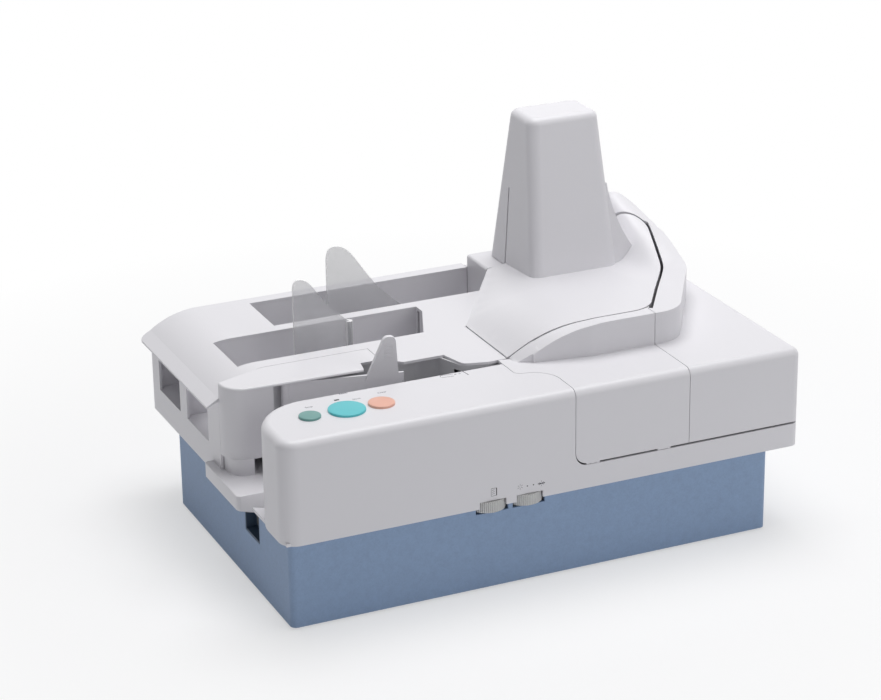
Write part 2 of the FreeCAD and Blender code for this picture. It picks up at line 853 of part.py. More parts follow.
def make_tray():
    inner = "casing_wall + face_gap"
    tray = prism("lower_housing", "top", [rect(inner, inner, "housing_length", "housing_depth")],
                 "base_top", TRAY_TOP)
    pad(tray, "top", [loop(("housing_length - casing_wall", "panel_wrap + seam"),
                           ("housing_length", "panel_wrap + seam"),
                           ("housing_length", "housing_depth"),
                           ("block_left + seam", "housing_depth"),
                           ("block_left + seam", "housing_depth - casing_wall"),
                           ("housing_length - casing_wall", "housing_depth - casing_wall"))],
        "base_top", "skirt_top")
    dress(tray, "Fillet", "edge_radius",
          lambda edge: upright(edge, s.housing_length, s.housing_depth))
    pocket(tray, "top", [rect("housing_length - edge_radius - casing_wall", "0", "housing_length",
                              "panel_wrap + seam")], "base_top - overrun", "skirt_top")
    pocket(tray, "top", [rect("0", "housing_depth - casing_wall - face_gap", "block_left + seam",
                              "housing_depth")], "base_top - overrun", "skirt_top")
    pocket(tray, "top", [rect("belt_window_left", "belt_window_front", "belt_window_right",
                              "belt_window_rear")], "base_top - overrun", "skirt_top")
    pocket(tray, "top", [rect("notch_left_start - wheel_radius / 2", "0",
                              "notch_right_start + notch_length + wheel_radius / 2",
                              "2 * wheel_radius")], "base_top - overrun", "skirt_top")
    pocket(tray, "top", [circle("feed_place", "track_feed_row - feed_radius", "drive_shaft + face_gap")],
           "base_top - overrun", "skirt_top")


def make_hopper_floor():
    bed = prism("hopper_floor", "top",
                [loop(("-shelf_reach", "shelf_front + shelf_chamfer"),
                      ("-shelf_reach + shelf_chamfer", "shelf_front"),
                      ("panel_corner_radius", "panel_back + seam"),
                      ("track_start", "panel_back + seam"),
                      ("track_start", "hopper_wall - shelf_chamfer / 2"),
                      ("track_start - shelf_chamfer", "hopper_wall - face_gap"),
                      ("hopper_end", "hopper_wall - face_gap"),
                      ("hopper_end", "shelf_rear - shelf_chamfer"),
                      ("-shelf_reach + shelf_chamfer", "shelf_rear - face_gap"),
                      ("-shelf_reach", "shelf_rear - shelf_chamfer"))],
                "base_top", "track_floor")
    pocket(bed, "top", [rect("face_gap", "0", "track_start + overrun", "housing_depth")],
           "base_top - overrun", TRAY_TOP)
    pocket(bed, "top", [rect("casing_wall + face_gap", "panel_back + seam + casing_wall",
                             "track_start - casing_wall", "hopper_wall - face_gap - casing_wall")],
           "base_top - overrun", "track_floor - casing_wall")


def inset(points, radii, shift):
    """A closed path, drawn counterclockwise, moved inwards by a distance."""
    normals = []
    for first, last in zip(points, points[1:] + points[:1]):
        along = (last - first).normalize()
        normals.append(Vector(-along.y, along.x, 0))
    moved = []
    fitted = []
    for i, corner in enumerate(points):
        before = normals[i - 1]
        after = normals[i]
        moved.append(corner + (before + after) * (shift / (1 + before.dot(after))))
        change = -shift if before.cross(after).z > 0 else shift
        fitted.append(max(radii[i] + change, 0) if radii[i] > 0 else 0)
    return moved, fitted


def plan(*corners):
    """Points and radii of a closed path from triples of place, row and corner radius."""
    return [Vector(x, y, 0) for x, y, _ in corners], [radius for _, _, radius in corners]


def soften(solid, radius, chosen):
    """Round the edges that a test picks."""
    return solid.makeFillet(radius, [edge for edge in solid.Edges if chosen(edge)])


def casing(points, radii, low, high, rounding, chosen):
    """A shell open below, whose upper edges are rounded where a test picks them."""
    outer = soften(block(points, radii, low, high), rounding,
                   lambda edge: at_level(edge, high) and chosen(edge.CenterOfMass))
    inside = block(*inset(points, radii, s.casing_wall), low - s.overrun, high - s.casing_wall)
    inside = soften(inside, rounding - s.casing_wall,
                    lambda edge: at_level(edge, high - s.casing_wall) and chosen(edge.CenterOfMass))
    return outer.cut(inside)


def make_chassis():
    points, radii = plan((s.plate_left, s.panel_back + s.seam, 0),
                         (s.tongue_left + s.plate_margin, s.panel_back + s.seam, 0),
                         (s.tongue_left + s.plate_margin, s.plate_margin, 0),
                         (s.housing_length - s.plate_margin, s.plate_margin, s.edge_radius),
                         (s.housing_length - s.plate_margin, s.housing_depth - s.plate_margin,
                          s.edge_radius),
                         (s.plate_left, s.housing_depth - s.plate_margin, 0))
    plate = block(points, radii, TRAY_LEVEL, CHASSIS_LEVEL)
    for place in drive_places() + [motor_place()]:
        plate = plate.cut(upright_rod(place.x, place.y, s.bush_radius + s.running_gap,
                                      s.base_top, s.track_floor))
    shaped("chassis_plate", plate)




def make_front_panel():
    points, radii = plan((0, 0, s.panel_corner_radius),
                         (s.front_seam, 0, 0),
                         (s.front_seam, s.tongue_front, s.panel_seam_radius),
                         (s.tongue_left, s.tongue_front, s.tongue_inner_radius),
                         (s.tongue_left, s.panel_back, 0),
                         (0, s.panel_back, s.panel_end_radius))
    panel = casing(points, radii, s.base_top, s.cover_level, s.edge_radius,
                   lambda middle: middle.y < 2 * s.casing_wall)
    strip, bends = plan((s.front_seam - s.casing_wall, 0, 0),
                        (s.housing_length, 0, s.edge_radius),
                        (s.housing_length, s.panel_wrap, 0),
                        (s.housing_length - s.casing_wall, s.panel_wrap, 0),
                        (s.housing_length - s.casing_wall, s.casing_wall,
                         s.edge_radius - s.casing_wall),
                        (s.front_seam - s.casing_wall, s.casing_wall, 0))
    panel = panel.fuse(block(strip, bends, s.base_top, s.skirt_top))
    for start in (s.notch_left_start, s.notch_right_start):
        panel = panel.cut(box(start, -s.overrun, s.base_top - s.overrun,
                              start + s.notch_length, s.casing_wall + s.overrun, s.notch_top))
    shelf_low = s.notch_top + s.face_gap
    shelf = box(s.notch_left_start - s.wheel_gap, s.casing_wall, shelf_low,
                s.notch_right_start + s.notch_length + s.wheel_gap,
                s.wheel_radius * 1.5, shelf_low + s.bracket_thickness)
    panel = panel.fuse(shelf)
    for middle in wheel_places():
        panel = panel.cut(upright_rod(middle.x, middle.y, s.wheel_pin + s.running_gap,
                                      shelf_low - s.overrun, s.notch_top + s.overrun))
    for place, radius in button_places():
        panel = panel.cut(upright_rod(place, s.button_row, radius + s.button_gap,
                                      UNDERSIDE - s.overrun, s.cover_level + s.overrun))
    panel = panel.cut(lamp_shape(s.running_gap, UNDERSIDE - s.overrun, s.cover_level + s.overrun))
    left, right, front, rear = key_board_edges()
    for x in (left + s.boss_radius, right - s.boss_radius):
        for y in (front + s.boss_radius, rear - s.boss_radius):
            panel = panel.fuse(upright_rod(x, y, s.boss_radius,
                                           s.key_board_level + s.board_thickness, UNDERSIDE))
    window = box(s.feed_place - s.feed_radius - s.overrun, s.panel_back - s.casing_wall - s.overrun,
                 s.tyre_low - s.overrun, s.tongue_left - s.casing_wall - s.face_gap,
                 s.panel_back + s.overrun, s.track_top - s.overrun)
    panel = panel.cut(window)
    for x in (s.door_knuckle_left, s.door_knuckle_right):
        panel = panel.cut(door_knuckle(x - s.face_gap, s.door_knuckle_length + 2 * s.face_gap,
                                       s.door_knuckle + s.face_gap))
    panel = panel.multiFuse(door_lugs(0)).cut(door_bore())
    margin = s.casing_wall + s.face_gap
    panel = panel.cut(box(margin, margin, s.base_top - s.overrun,
                          s.front_seam + s.overrun, s.panel_back + s.overrun, TRAY_LEVEL))
    panel = panel.cut(box(s.tongue_left + s.plate_margin - s.face_gap, s.plate_margin - s.face_gap,
                          s.base_top - s.overrun, s.front_seam + s.overrun,
                          s.panel_back + s.overrun, CHASSIS_LEVEL))
    shaped("front_panel", panel.removeSplitter())


def wheel_places():
    """Centres of the two thumbwheels."""
    row_middle = s.wheel_radius - s.wheel_proud
    return [Vector(start + s.notch_length / 2, row_middle, 0)
            for start in (s.notch_left_start, s.notch_right_start)]


def button_places():
    """Place and radius of each round key."""
    return [(s.small_button_place, s.small_button_radius),
            (s.large_button_place, s.large_button_radius),
            (s.right_button_place, s.right_button_radius)]


def lamp_shape(gap, low, high):
    """The lamp's slot or its light guide."""
    return box(s.lamp_place - s.lamp_length / 2 - gap, s.lamp_row - s.lamp_width / 2 - gap, low,
               s.lamp_place + s.lamp_length / 2 + gap, s.lamp_row + s.lamp_width / 2 + gap, high)


def key_board_edges():
    """Left, right, front and rear of the board under the keys."""
    margin = s.key_board_margin
    return (s.small_button_place - s.small_button_radius - margin,
            s.right_button_place + s.right_button_radius + margin,
            s.button_row - s.large_button_radius - margin,
            s.lamp_row + margin)


def door_knuckle(start, length, radius):
    """A round bar on the hinge line of the front cover."""
    return Part.makeCylinder(radius, length, Vector(start, s.door_axis_row, s.door_axis_level),
                             Vector(1, 0, 0))


def door_lugs(margin):
    """Fixed lugs at both ends of each knuckle, or the room that they need."""
    lugs = []
    for x in (s.door_knuckle_left, s.door_knuckle_right):
        length = s.door_pin_reach - s.face_gap + 2 * margin
        for start in (x - s.door_pin_reach - margin, x + s.door_knuckle_length + s.face_gap - margin):
            lugs.append(door_knuckle(start, length, s.door_knuckle + margin))
    return lugs


def door_bore():
    """The bore for the pins, as long as the whole cover."""
    return door_knuckle(s.front_seam, s.side_seam - s.front_seam, s.door_pin + s.running_gap)


def make_keys():
    left, right, front, rear = key_board_edges()
    board = box(left, front, s.key_board_level, right, rear, s.key_board_level + s.board_thickness)
    top = s.key_board_level + s.board_thickness
    half = s.key_switch_half
    for place, _ in button_places():
        board = board.fuse(box(place - half, s.button_row - half, top,
                               place + half, s.button_row + half, top + s.key_switch_height))
    shaped("key_board", board)
    for label, place, radius in (("stop_button", "small_button_place", "small_button_radius"),
                                 ("start_button", "large_button_place", "large_button_radius"),
                                 ("clear_button", "right_button_place", "right_button_radius")):
        under = "cover_level - casing_wall"
        key = turned(label, [("0", f"{under} - button_flange_depth"),
                             (f"{radius} + button_flange", f"{under} - button_flange_depth"),
                             (f"{radius} + button_flange", under), (radius, under),
                             (radius, "cover_level + button_proud"),
                             ("0", "cover_level + button_proud")], place, "button_row")
        level = s.cover_level + s.button_proud
        dress(key, "Fillet", "button_rounding", lambda edge: at_level(edge, level)
              and edge.Length > s.button_rounding)
        stem = "key_board_level + board_thickness + key_switch_height + button_travel + face_gap"
        pad(key, "top", [circle(place, "button_row", "plunger_radius")],
            stem, f"{under} - button_flange_depth")
    shaped("status_lamp", lamp_shape(0, top, s.cover_level + s.lamp_proud))


def make_wheels():
    shelf_low = s.notch_top + s.face_gap
    pins = []
    for label, middle in zip(("left_thumbwheel", "right_thumbwheel"), wheel_places()):
        low = s.wheel_bottom
        high = low + s.wheel_thickness
        wheel = upright_rod(middle.x, middle.y, s.wheel_radius, low, high)
        wheel = soften(wheel, s.wheel_gap / 2,
                       lambda edge: at_level(edge, low) or at_level(edge, high))
        wheel = wheel.cut(upright_rod(middle.x, middle.y, s.wheel_pin + s.running_gap,
                                      low - s.overrun, high + s.overrun))
        shaped(label, wheel)
        head = upright_rod(middle.x, middle.y, 2 * s.wheel_pin, low - s.face_gap - s.bracket_thickness,
                           low - s.face_gap)
        stem = upright_rod(middle.x, middle.y, s.wheel_pin, low - s.face_gap,
                           shelf_low + s.bracket_thickness)
        pins.append(head.fuse(stem))
    return pins


def make_hopper_cover():
    points, radii = plan((0, s.hopper_edge, s.hopper_corner),
                         (s.hopper_notch_left, s.throat_edge, 0),
                         (s.hopper_notch_left + s.notch_slant, s.hopper_notch_rear, 0),
                         (s.hopper_cover_right, s.hopper_notch_rear, 0),
                         (s.hopper_cover_right, s.hopper_seam, 0),
                         (s.lip_bend, s.hopper_seam, s.hopper_corner),
                         (0, s.hopper_seam_left, 0))
    top = block(points, radii, UNDERSIDE, s.cover_level)
    top = soften(top, s.hopper_rounding, lambda edge: at_level(edge, s.cover_level)
                 and edge.CenterOfMass.y < s.throat_edge + s.hopper_rounding
                 and edge.Length > s.hopper_corner)
    post, bends = plan((0, s.hopper_edge, s.hopper_corner),
                       (s.hopper_end, s.hopper_edge, 0),
                       (s.hopper_end, s.hopper_seam - s.casing_wall, 0),
                       (0, s.hopper_seam_left, 0))
    outer = block(post, bends, s.post_foot, UNDERSIDE)
    inside = block(*inset(post, bends, s.casing_wall), s.post_foot - s.overrun,
                   UNDERSIDE + s.overrun)
    cover = top.fuse(outer.cut(inside))
    socket = upright_rod(s.pusher_pivot_place, s.pusher_pivot_row, s.pusher_pin + s.casing_wall,
                         s.pusher_level + s.face_gap, UNDERSIDE)
    pin = upright_rod(s.pusher_pivot_place, s.pusher_pivot_row, s.pusher_pin + s.running_gap,
                      s.track_floor, s.cover_level - s.face_gap)
    shaped("hopper_cover", cover.fuse(socket).cut(pin))


def make_hopper_wall():
    points = [Vector(s.hopper_end + s.face_gap, s.hopper_wall, 0),
              Vector(s.throat_right - s.throat_lead, s.hopper_wall, 0),
              Vector(s.throat_right - s.hopper_flange, s.throat_edge + s.hopper_flange, 0),
              Vector(s.throat_bend, s.throat_bend_row, 0),
              Vector(s.hood_left - s.throat_lead, s.track_feed_row + s.track_gap, 0),
              Vector(s.hood_left, s.track_feed_row + s.track_gap, 0)]
    bends = [s.throat_lead / 2] * 4
    wall = ribbon(points, bends, 0, s.pocket_wall, CHASSIS_LEVEL, UNDERSIDE)
    window = box(s.feed_place - s.retard_radius - s.overrun, s.track_feed_row - s.overrun,
                 s.track_floor, s.feed_place + s.retard_radius + s.overrun,
                 s.throat_edge, s.track_top - s.overrun)
    bed = box(s.track_start - s.face_gap, s.track_feed_row, CHASSIS_LEVEL - s.overrun,
              s.hood_left + s.overrun, s.track_feed_row + s.bed_half + s.face_gap, s.track_floor)
    wall = wall.cut(window).cut(bed)
    shaped("hopper_wall", wall)


def make_pusher():
    high = s.pusher_level
    low = s.track_floor + s.casing_wall
    hub = upright_rod(0, 0, s.pusher_hub, low, high)
    plate = box(0, -s.pusher_thickness / 2, low, s.pusher_length, s.pusher_thickness / 2, high)
    fin_low = high - s.overrun
    corners, bends = plan((s.fin_left, fin_low, 0), (s.fin_right, fin_low, 0),
                          (s.fin_right - s.casing_wall, s.fin_top, s.fin_rounding),
                          (s.fin_tip_left, s.fin_top, s.fin_rounding))
    fin = Part.Face(Part.Wire(Part.__sortEdges__(ring_of(corners, bends))))
    fin.rotate(Vector(), Vector(1, 0, 0), 90)
    fin.translate(Vector(0, s.pusher_thickness, 0))
    fin = fin.extrude(Vector(0, -2 * s.pusher_thickness, 0))
    ribs = []
    for i in range(5):
        level = s.fin_top - s.fin_rounding - (i + 1) * s.fin_rib_pitch
        ribs.append(box(s.fin_tip_left, -s.pusher_thickness - s.fin_rib, level,
                        s.fin_right - 2 * s.casing_wall, s.pusher_thickness + s.fin_rib,
                        level + s.fin_rib_pitch / 2))
    pusher = hub.multiFuse([plate, fin] + ribs)
    pusher = pusher.cut(upright_rod(0, 0, s.pusher_pin + s.running_gap, low - s.overrun,
                                    high + s.overrun))
    pusher.rotate(Vector(), Vector(0, 0, 1), -s.pusher_turn)
    pusher.translate(Vector(s.pusher_pivot_place, s.pusher_pivot_row, 0))
    shaped("hopper_pusher", pusher)
    return [upright_rod(s.pusher_pivot_place, s.pusher_pivot_row, s.pusher_pin,
                        s.track_floor, UNDERSIDE)]


def lip_profile(drop):
    """The top line of the pocket cover, from its lip to the flat, lowered by a distance."""
    radius = s.lip_radius - drop
    bottom = s.cover_level - s.lip_radius
    steep = math.asin(s.lip_bend / s.lip_radius)
    start = Vector(s.lip_bend - radius * math.sin(steep), 0, bottom + radius * math.cos(steep))
    middle = Vector(s.lip_bend - radius * math.sin(steep / 2), 0,
                    bottom + radius * math.cos(steep / 2))
    top = Vector(s.lip_bend, 0, s.cover_level - drop)
    lip = Vector(-s.lip_reach, 0, start.z - s.lip_drop)
    return lip, start, middle, top


def under_lip(drop, right, low):
    """Everything below the pocket cover's top line, lowered by a distance."""
    lip, start, middle, top = lip_profile(drop)
    far = Vector(right, 0, top.z)
    edges = [Part.LineSegment(lip, start).toShape(), Part.Arc(start, middle, top).toShape(),
             Part.LineSegment(top, far).toShape(),
             Part.LineSegment(far, Vector(right, 0, low)).toShape(),
             Part.LineSegment(Vector(right, 0, low), Vector(lip.x, 0, low)).toShape(),
             Part.LineSegment(Vector(lip.x, 0, low), lip).toShape()]
    return face_of(edges).extrude(Vector(0, s.housing_depth, 0))


def pocket_outlines(margin):
    """Plan outlines of the near and far pockets, grown by a margin."""
    near_pocket = plan((s.casing_wall - margin, s.pocket_near_front - margin, 0),
                       (s.pocket_near_right_front + margin, s.pocket_near_front - margin, 0),
                       (s.pocket_near_right + margin, s.pocket_near_rear - s.paddle_shoulder_run, 0),
                       (s.pocket_near_right + margin, s.pocket_near_rear + margin, 0),
                       (s.casing_wall - margin, s.pocket_near_rear + margin, 0))
    far_pocket = plan((s.casing_wall - margin, s.pocket_far_front - margin, 0),
                      (s.far_right_front + margin, s.pocket_far_front - margin, 0),
                      (s.block_left - s.seam, s.track_rear_row, 0),
                      (s.block_left - s.seam, s.pocket_far_rear + margin, 0),
                      (s.casing_wall - margin, s.pocket_far_rear + margin, 0))
    return near_pocket, far_pocket


def make_stacker_cover():
    sheet_top = under_lip(0, s.block_left - s.seam, s.pocket_floor)
    sheet_top = sheet_top.cut(under_lip(s.casing_wall, s.housing_length, s.pocket_floor - s.overrun))
    points, radii = plan((-s.lip_reach, s.hopper_seam_left + s.seam, 0),
                         (0, s.hopper_seam_left + s.seam, 0),
                         (s.lip_bend, s.hopper_seam + s.seam, s.hopper_corner),
                         (s.hopper_cover_right + s.seam, s.hopper_seam + s.seam, 0),
                         (s.hopper_cover_right + s.seam, s.hopper_notch_rear, 0),
                         (s.hopper_notch_right, s.throat_edge, 0),
                         (s.throat_right, s.throat_edge, 0),
                         (s.throat_bend, s.throat_bend_row, s.throat_lead / 2),
                         (s.hood_left - s.throat_lead, s.track_feed_row + s.slot_half, 0),
                         (s.hood_left - s.seam / 2, s.track_feed_row + s.slot_half, 0),
                         (s.hood_left - s.seam / 2, s.hood_corner, 0),
                         (s.block_left - s.seam, s.track_rear_row - s.rear_slot_half, 0),
                         (s.block_left - s.seam, s.housing_depth, 0),
                         (-s.lip_reach, s.housing_depth, s.edge_radius))
    top = sheet_top.common(block(points, radii, s.pocket_floor, s.cover_level + s.overrun))
    for (corners, bends), left in zip(pocket_outlines(0), (s.pocket_near_left, s.pocket_far_left)):
        corners = [Vector(max(corner.x, left), corner.y, 0) for corner in corners]
        top = top.cut(block(corners, bends, s.pocket_floor, s.cover_level + s.overrun))
    shaped("stacker_cover", top)


def make_stacker_body():
    top = s.cover_level - s.casing_wall - s.face_gap / 3
    roof = under_lip(s.casing_wall + s.face_gap / 3, s.housing_length, s.base_top - s.overrun)
    solids = []
    for corners, bends in pocket_outlines(s.pocket_wall):
        solids.append(block(corners, bends, s.pocket_floor - s.casing_wall, top))
    left_wall = box(0, s.hopper_seam_left + s.seam, s.track_floor, s.casing_wall,
                    s.housing_depth, top)
    rear_wall = box(0, s.housing_depth - s.casing_wall, s.base_top, s.block_left,
                    s.housing_depth, top)
    skirt = box(0, s.shelf_rear + s.seam, s.base_top, s.casing_wall, s.housing_depth, top)
    legs = []
    for x in (s.casing_wall, s.pocket_far_left, s.near_paddle_right, s.pocket_near_right_front):
        for y in (s.pocket_near_front, s.pocket_far_rear - s.pocket_wall):
            level = TRAY_LEVEL if x < s.plate_left else CHASSIS_LEVEL
            legs.append(box(x, y, level, x + s.pocket_wall, y + s.pocket_wall, s.pocket_floor))
    body = left_wall.multiFuse(solids + [rear_wall, skirt] + legs)
    for corners, bends in pocket_outlines(0):
        body = body.cut(block(corners, bends, s.pocket_floor, s.cover_level))
    for front, rear in ((s.pocket_near_front, s.pocket_near_rear),
                        (s.pocket_far_front, s.pocket_far_rear)):
        body = body.cut(box(-s.overrun, front, s.pocket_floor, s.casing_wall + s.overrun,
                            rear - s.window_margin, s.window_top))
    slot = box(s.pocket_near_right - s.overrun, s.pocket_near_rear - s.gate_mouth, s.pocket_floor,
               s.pocket_near_right + 2 * s.pocket_wall, s.pocket_near_rear - s.track_gap, s.track_top)
    exit_slot = box(s.far_right_front, s.track_rear_row - s.gate_mouth / 2, s.pocket_floor,
                    s.block_left + s.overrun, s.track_rear_row + s.gate_mouth / 2, s.track_top)
    body = body.cut(slot).cut(exit_slot).common(roof)
    for place, row_place in paddle_places():
        body = body.cut(upright_rod(place, row_place, s.paddle_pin + s.running_gap,
                                    s.base_top, s.pocket_floor + s.overrun))
    shaped("stacker_body", body)


def paddle_places():
    """Places of the two paddle pins."""
    return [(s.near_paddle_right, s.near_paddle_row), (s.far_paddle_right, s.far_paddle_row)]


def make_paddles():
    pins = []
    for label, left, right, middle, top, shoulder in (
            ("near_paddle", s.near_paddle_left, s.near_paddle_right, s.near_paddle_row,
             s.near_paddle_top, s.near_paddle_shoulder),
            ("far_paddle", s.far_paddle_left, s.far_paddle_right, s.far_paddle_row,
             s.far_paddle_top, s.far_paddle_shoulder)):
        low = s.pocket_floor + s.paddle_foot
        nose = (right - left) / 10
        back = Part.BezierCurve()
        back.setPoles([Vector(left + nose, 0, top), Vector(left + 4 * nose, 0, top),
                       Vector(left + 4 * nose, 0, top - (top - shoulder) / 2),
                       Vector(right, 0, shoulder)])
        tip = Part.BezierCurve()
        tip.setPoles([Vector(left, 0, top - 2 * nose), Vector(left, 0, top),
                      Vector(left + nose, 0, top)])
        edges = [Part.LineSegment(Vector(right, 0, shoulder), Vector(right, 0, low)).toShape(),
                 Part.LineSegment(Vector(right, 0, low), Vector(left, 0, low)).toShape(),
                 Part.LineSegment(Vector(left, 0, low), Vector(left, 0, top - 2 * nose)).toShape(),
                 tip.toShape(), back.toShape()]
        blade = face_of(edges).extrude(Vector(0, s.paddle_thickness, 0))
        blade.translate(Vector(0, middle - s.paddle_thickness / 2, 0))
        paddle = blade.fuse(upright_rod(right, middle, s.paddle_hub, low, shoulder))
        bore_top = shoulder - s.casing_wall
        paddle = paddle.cut(upright_rod(right, middle, s.paddle_pin + s.running_gap,
                                        low - s.overrun, bore_top))
        shaped(label, paddle)
        pins.append(upright_rod(right, middle, s.paddle_pin, s.pocket_floor - s.casing_wall,
                                bore_top - s.face_gap))
    return pins


# The document track, its rollers and its reading parts

def station(segment, share):
    """A spot on a straight stretch of the track, and the direction to its inner side."""
    points = track_points()
    along = points[segment + 1] - points[segment]
    spot = points[segment] + along * share
    along.normalize()
    return spot, Vector(-along.y, along.x, 0)


STATION_SHARES = [(1, 0.5), (3, 0.5), (4, 0.5), (6, 0.45)]
HEAD_SHARES = (1, 0.85)
INNER_SCAN_SHARES = (3, 0.27)
OUTER_SCAN_SHARES = (3, 0.78)


def drive_places():
    """Centres of the drive rollers, on the inner side of the track."""
    reach = s.drive_radius + s.nip_gap / 2
    return [spot + inner * reach for spot, inner in (station(*item) for item in STATION_SHARES)]


def pinch_places():
    """Centres of the pinch rollers, on the outer side of the track."""
    reach = s.pinch_radius + s.nip_gap / 2
    return [spot - inner * reach for spot, inner in (station(*item) for item in STATION_SHARES)]


def retard_place():
    """Centre of the roller that faces the feed roller."""
    return Vector(s.feed_place, s.track_feed_row + s.retard_radius + s.nip_gap, 0)


def feed_centre():
    """Centre of the feed roller."""
    return Vector(s.feed_place, s.track_feed_row - s.feed_radius, 0)


def motor_place():
    """Centre of the drive motor."""
    return Vector(s.motor_place, s.motor_row, 0)


def along_track(shape, shares):
    """Turn and move a shape drawn at the origin, with the track along X, to its station."""
    spot, inner = station(*shares)
    shape.rotate(Vector(), Vector(0, 0, 1), math.degrees(math.atan2(inner.y, inner.x)) - 90)
    shape.translate(spot)
    return shape


def make_track():
    points = track_points()
    bed = ribbon(points, TRACK_RADII, -s.bed_half, s.bed_half, CHASSIS_LEVEL, s.track_floor)
    shaft = upright_rod(s.gate_place, s.track_rear_row, s.gate_pin + s.face_gap,
                        CHASSIS_LEVEL, s.track_floor)
    recess = box(s.gate_place - s.lever_room, s.track_rear_row - s.lever_room, CHASSIS_LEVEL,
                 s.gate_place + s.lever_room, s.track_rear_row + s.lever_room,
                 CHASSIS_LEVEL + s.lever_thickness + 2 * s.face_gap)
    shaped("track_bed", bed.cut(shaft).cut(recess))
    near_side = s.track_gap / 2
    far_side = near_side + s.track_wall
    inner = ribbon(points[1:], TRACK_RADII[1:], near_side, far_side, s.track_floor, s.track_top)
    outer = ribbon(points[1:], TRACK_RADII[1:], -far_side, -near_side, s.track_floor, s.track_top)
    inner = inner.cut(roller_windows(drive_places(), s.drive_radius))
    outer = outer.cut(roller_windows(pinch_places(), s.pinch_radius))
    inner = inner.cut(head_window(s.head_length, HEAD_SHARES, 1))
    inner = inner.cut(head_window(s.scan_length, INNER_SCAN_SHARES, 1))
    outer = outer.cut(head_window(s.scan_length, OUTER_SCAN_SHARES, -1))
    mouth = box(s.block_left - s.overrun, s.track_rear_row - 2 * far_side, s.track_floor,
                s.gate_place + s.lever_room, s.track_rear_row + 2 * far_side, s.track_top)
    inner = inner.cut(mouth)
    outer = outer.cut(mouth)
    front = box(0, 0, s.base_top, s.housing_length, s.track_side_front, s.cover_level)
    shaped("inner_track_wall", inner)
    shaped("front_track_wall", outer.common(front))
    shaped("rear_track_wall", outer.cut(front))


def roller_windows(places, radius):
    """What a track wall leaves out for the tyres of its rollers."""
    rods = [upright_rod(place.x, place.y, radius + s.roller_window, level - s.wheel_gap,
                        level + s.tyre_width + s.wheel_gap)
            for place in places for level in (s.tyre_low, s.tyre_low + s.tyre_pitch)]
    return rods[0].multiFuse(rods[1:])


def head_window(length, shares, side):
    """What a track wall leaves out for a reading part."""
    half = length / 2 + s.wheel_gap
    far_side = side * (s.track_gap + s.track_wall)
    return along_track(box(-half, min(0, far_side), s.track_floor, half, max(0, far_side),
                           s.track_top), shares)


def reading_part(label, length, depth, shares, side):
    """A reading part that stands beside the track, with its face in line with the wall."""
    face = s.track_gap / 2
    foot = s.bed_half + s.face_gap
    top = s.track_top - s.bracket_thickness
    body = box(-length / 2, face, s.track_floor + s.face_gap, length / 2, face + depth, top)
    body = soften(body, s.edge_radius / 4, lambda edge: edge.BoundBox.YMin > face + depth / 2
                  and edge.BoundBox.ZLength > depth)
    body = body.fuse(box(-length / 2, foot, CHASSIS_LEVEL, length / 2, face + depth - s.edge_radius / 4,
                         s.track_floor + s.pocket_wall))
    if side < 0:
        body.rotate(Vector(), Vector(0, 0, 1), 180)
    shaped(label, along_track(body, shares))


def make_reading_parts():
    reading_part("magnetic_head", s.head_length, s.head_depth, HEAD_SHARES, 1)
    reading_part("rear_scan_unit", s.scan_length, s.scan_depth, INNER_SCAN_SHARES, 1)
    reading_part("front_scan_unit", s.scan_length, s.scan_depth, OUTER_SCAN_SHARES, -1)


def roller(label, place, tyre, core, low, bottom_profile):
    """A roller about an upright axis with two tyres; its lower end comes as a profile."""
    high = s.roller_top
    second = s.tyre_low + s.tyre_pitch
    heights = [(core, low), (core, s.tyre_low), (tyre, s.tyre_low),
               (tyre, s.tyre_low + s.tyre_width), (core, s.tyre_low + s.tyre_width),
               (core, second), (tyre, second), (tyre, second + s.tyre_width),
               (core, second + s.tyre_width), (core, high), (0, high)]
    points = [Vector(radius, 0, level) for radius, level in bottom_profile + heights]
    edges = [Part.LineSegment(first, last).toShape()
             for first, last in zip(points, points[1:] + points[:1])]
    solid = face_of(edges).revolve(Vector(), Vector(0, 0, 1), 360)
    solid.translate(place)
    return solid


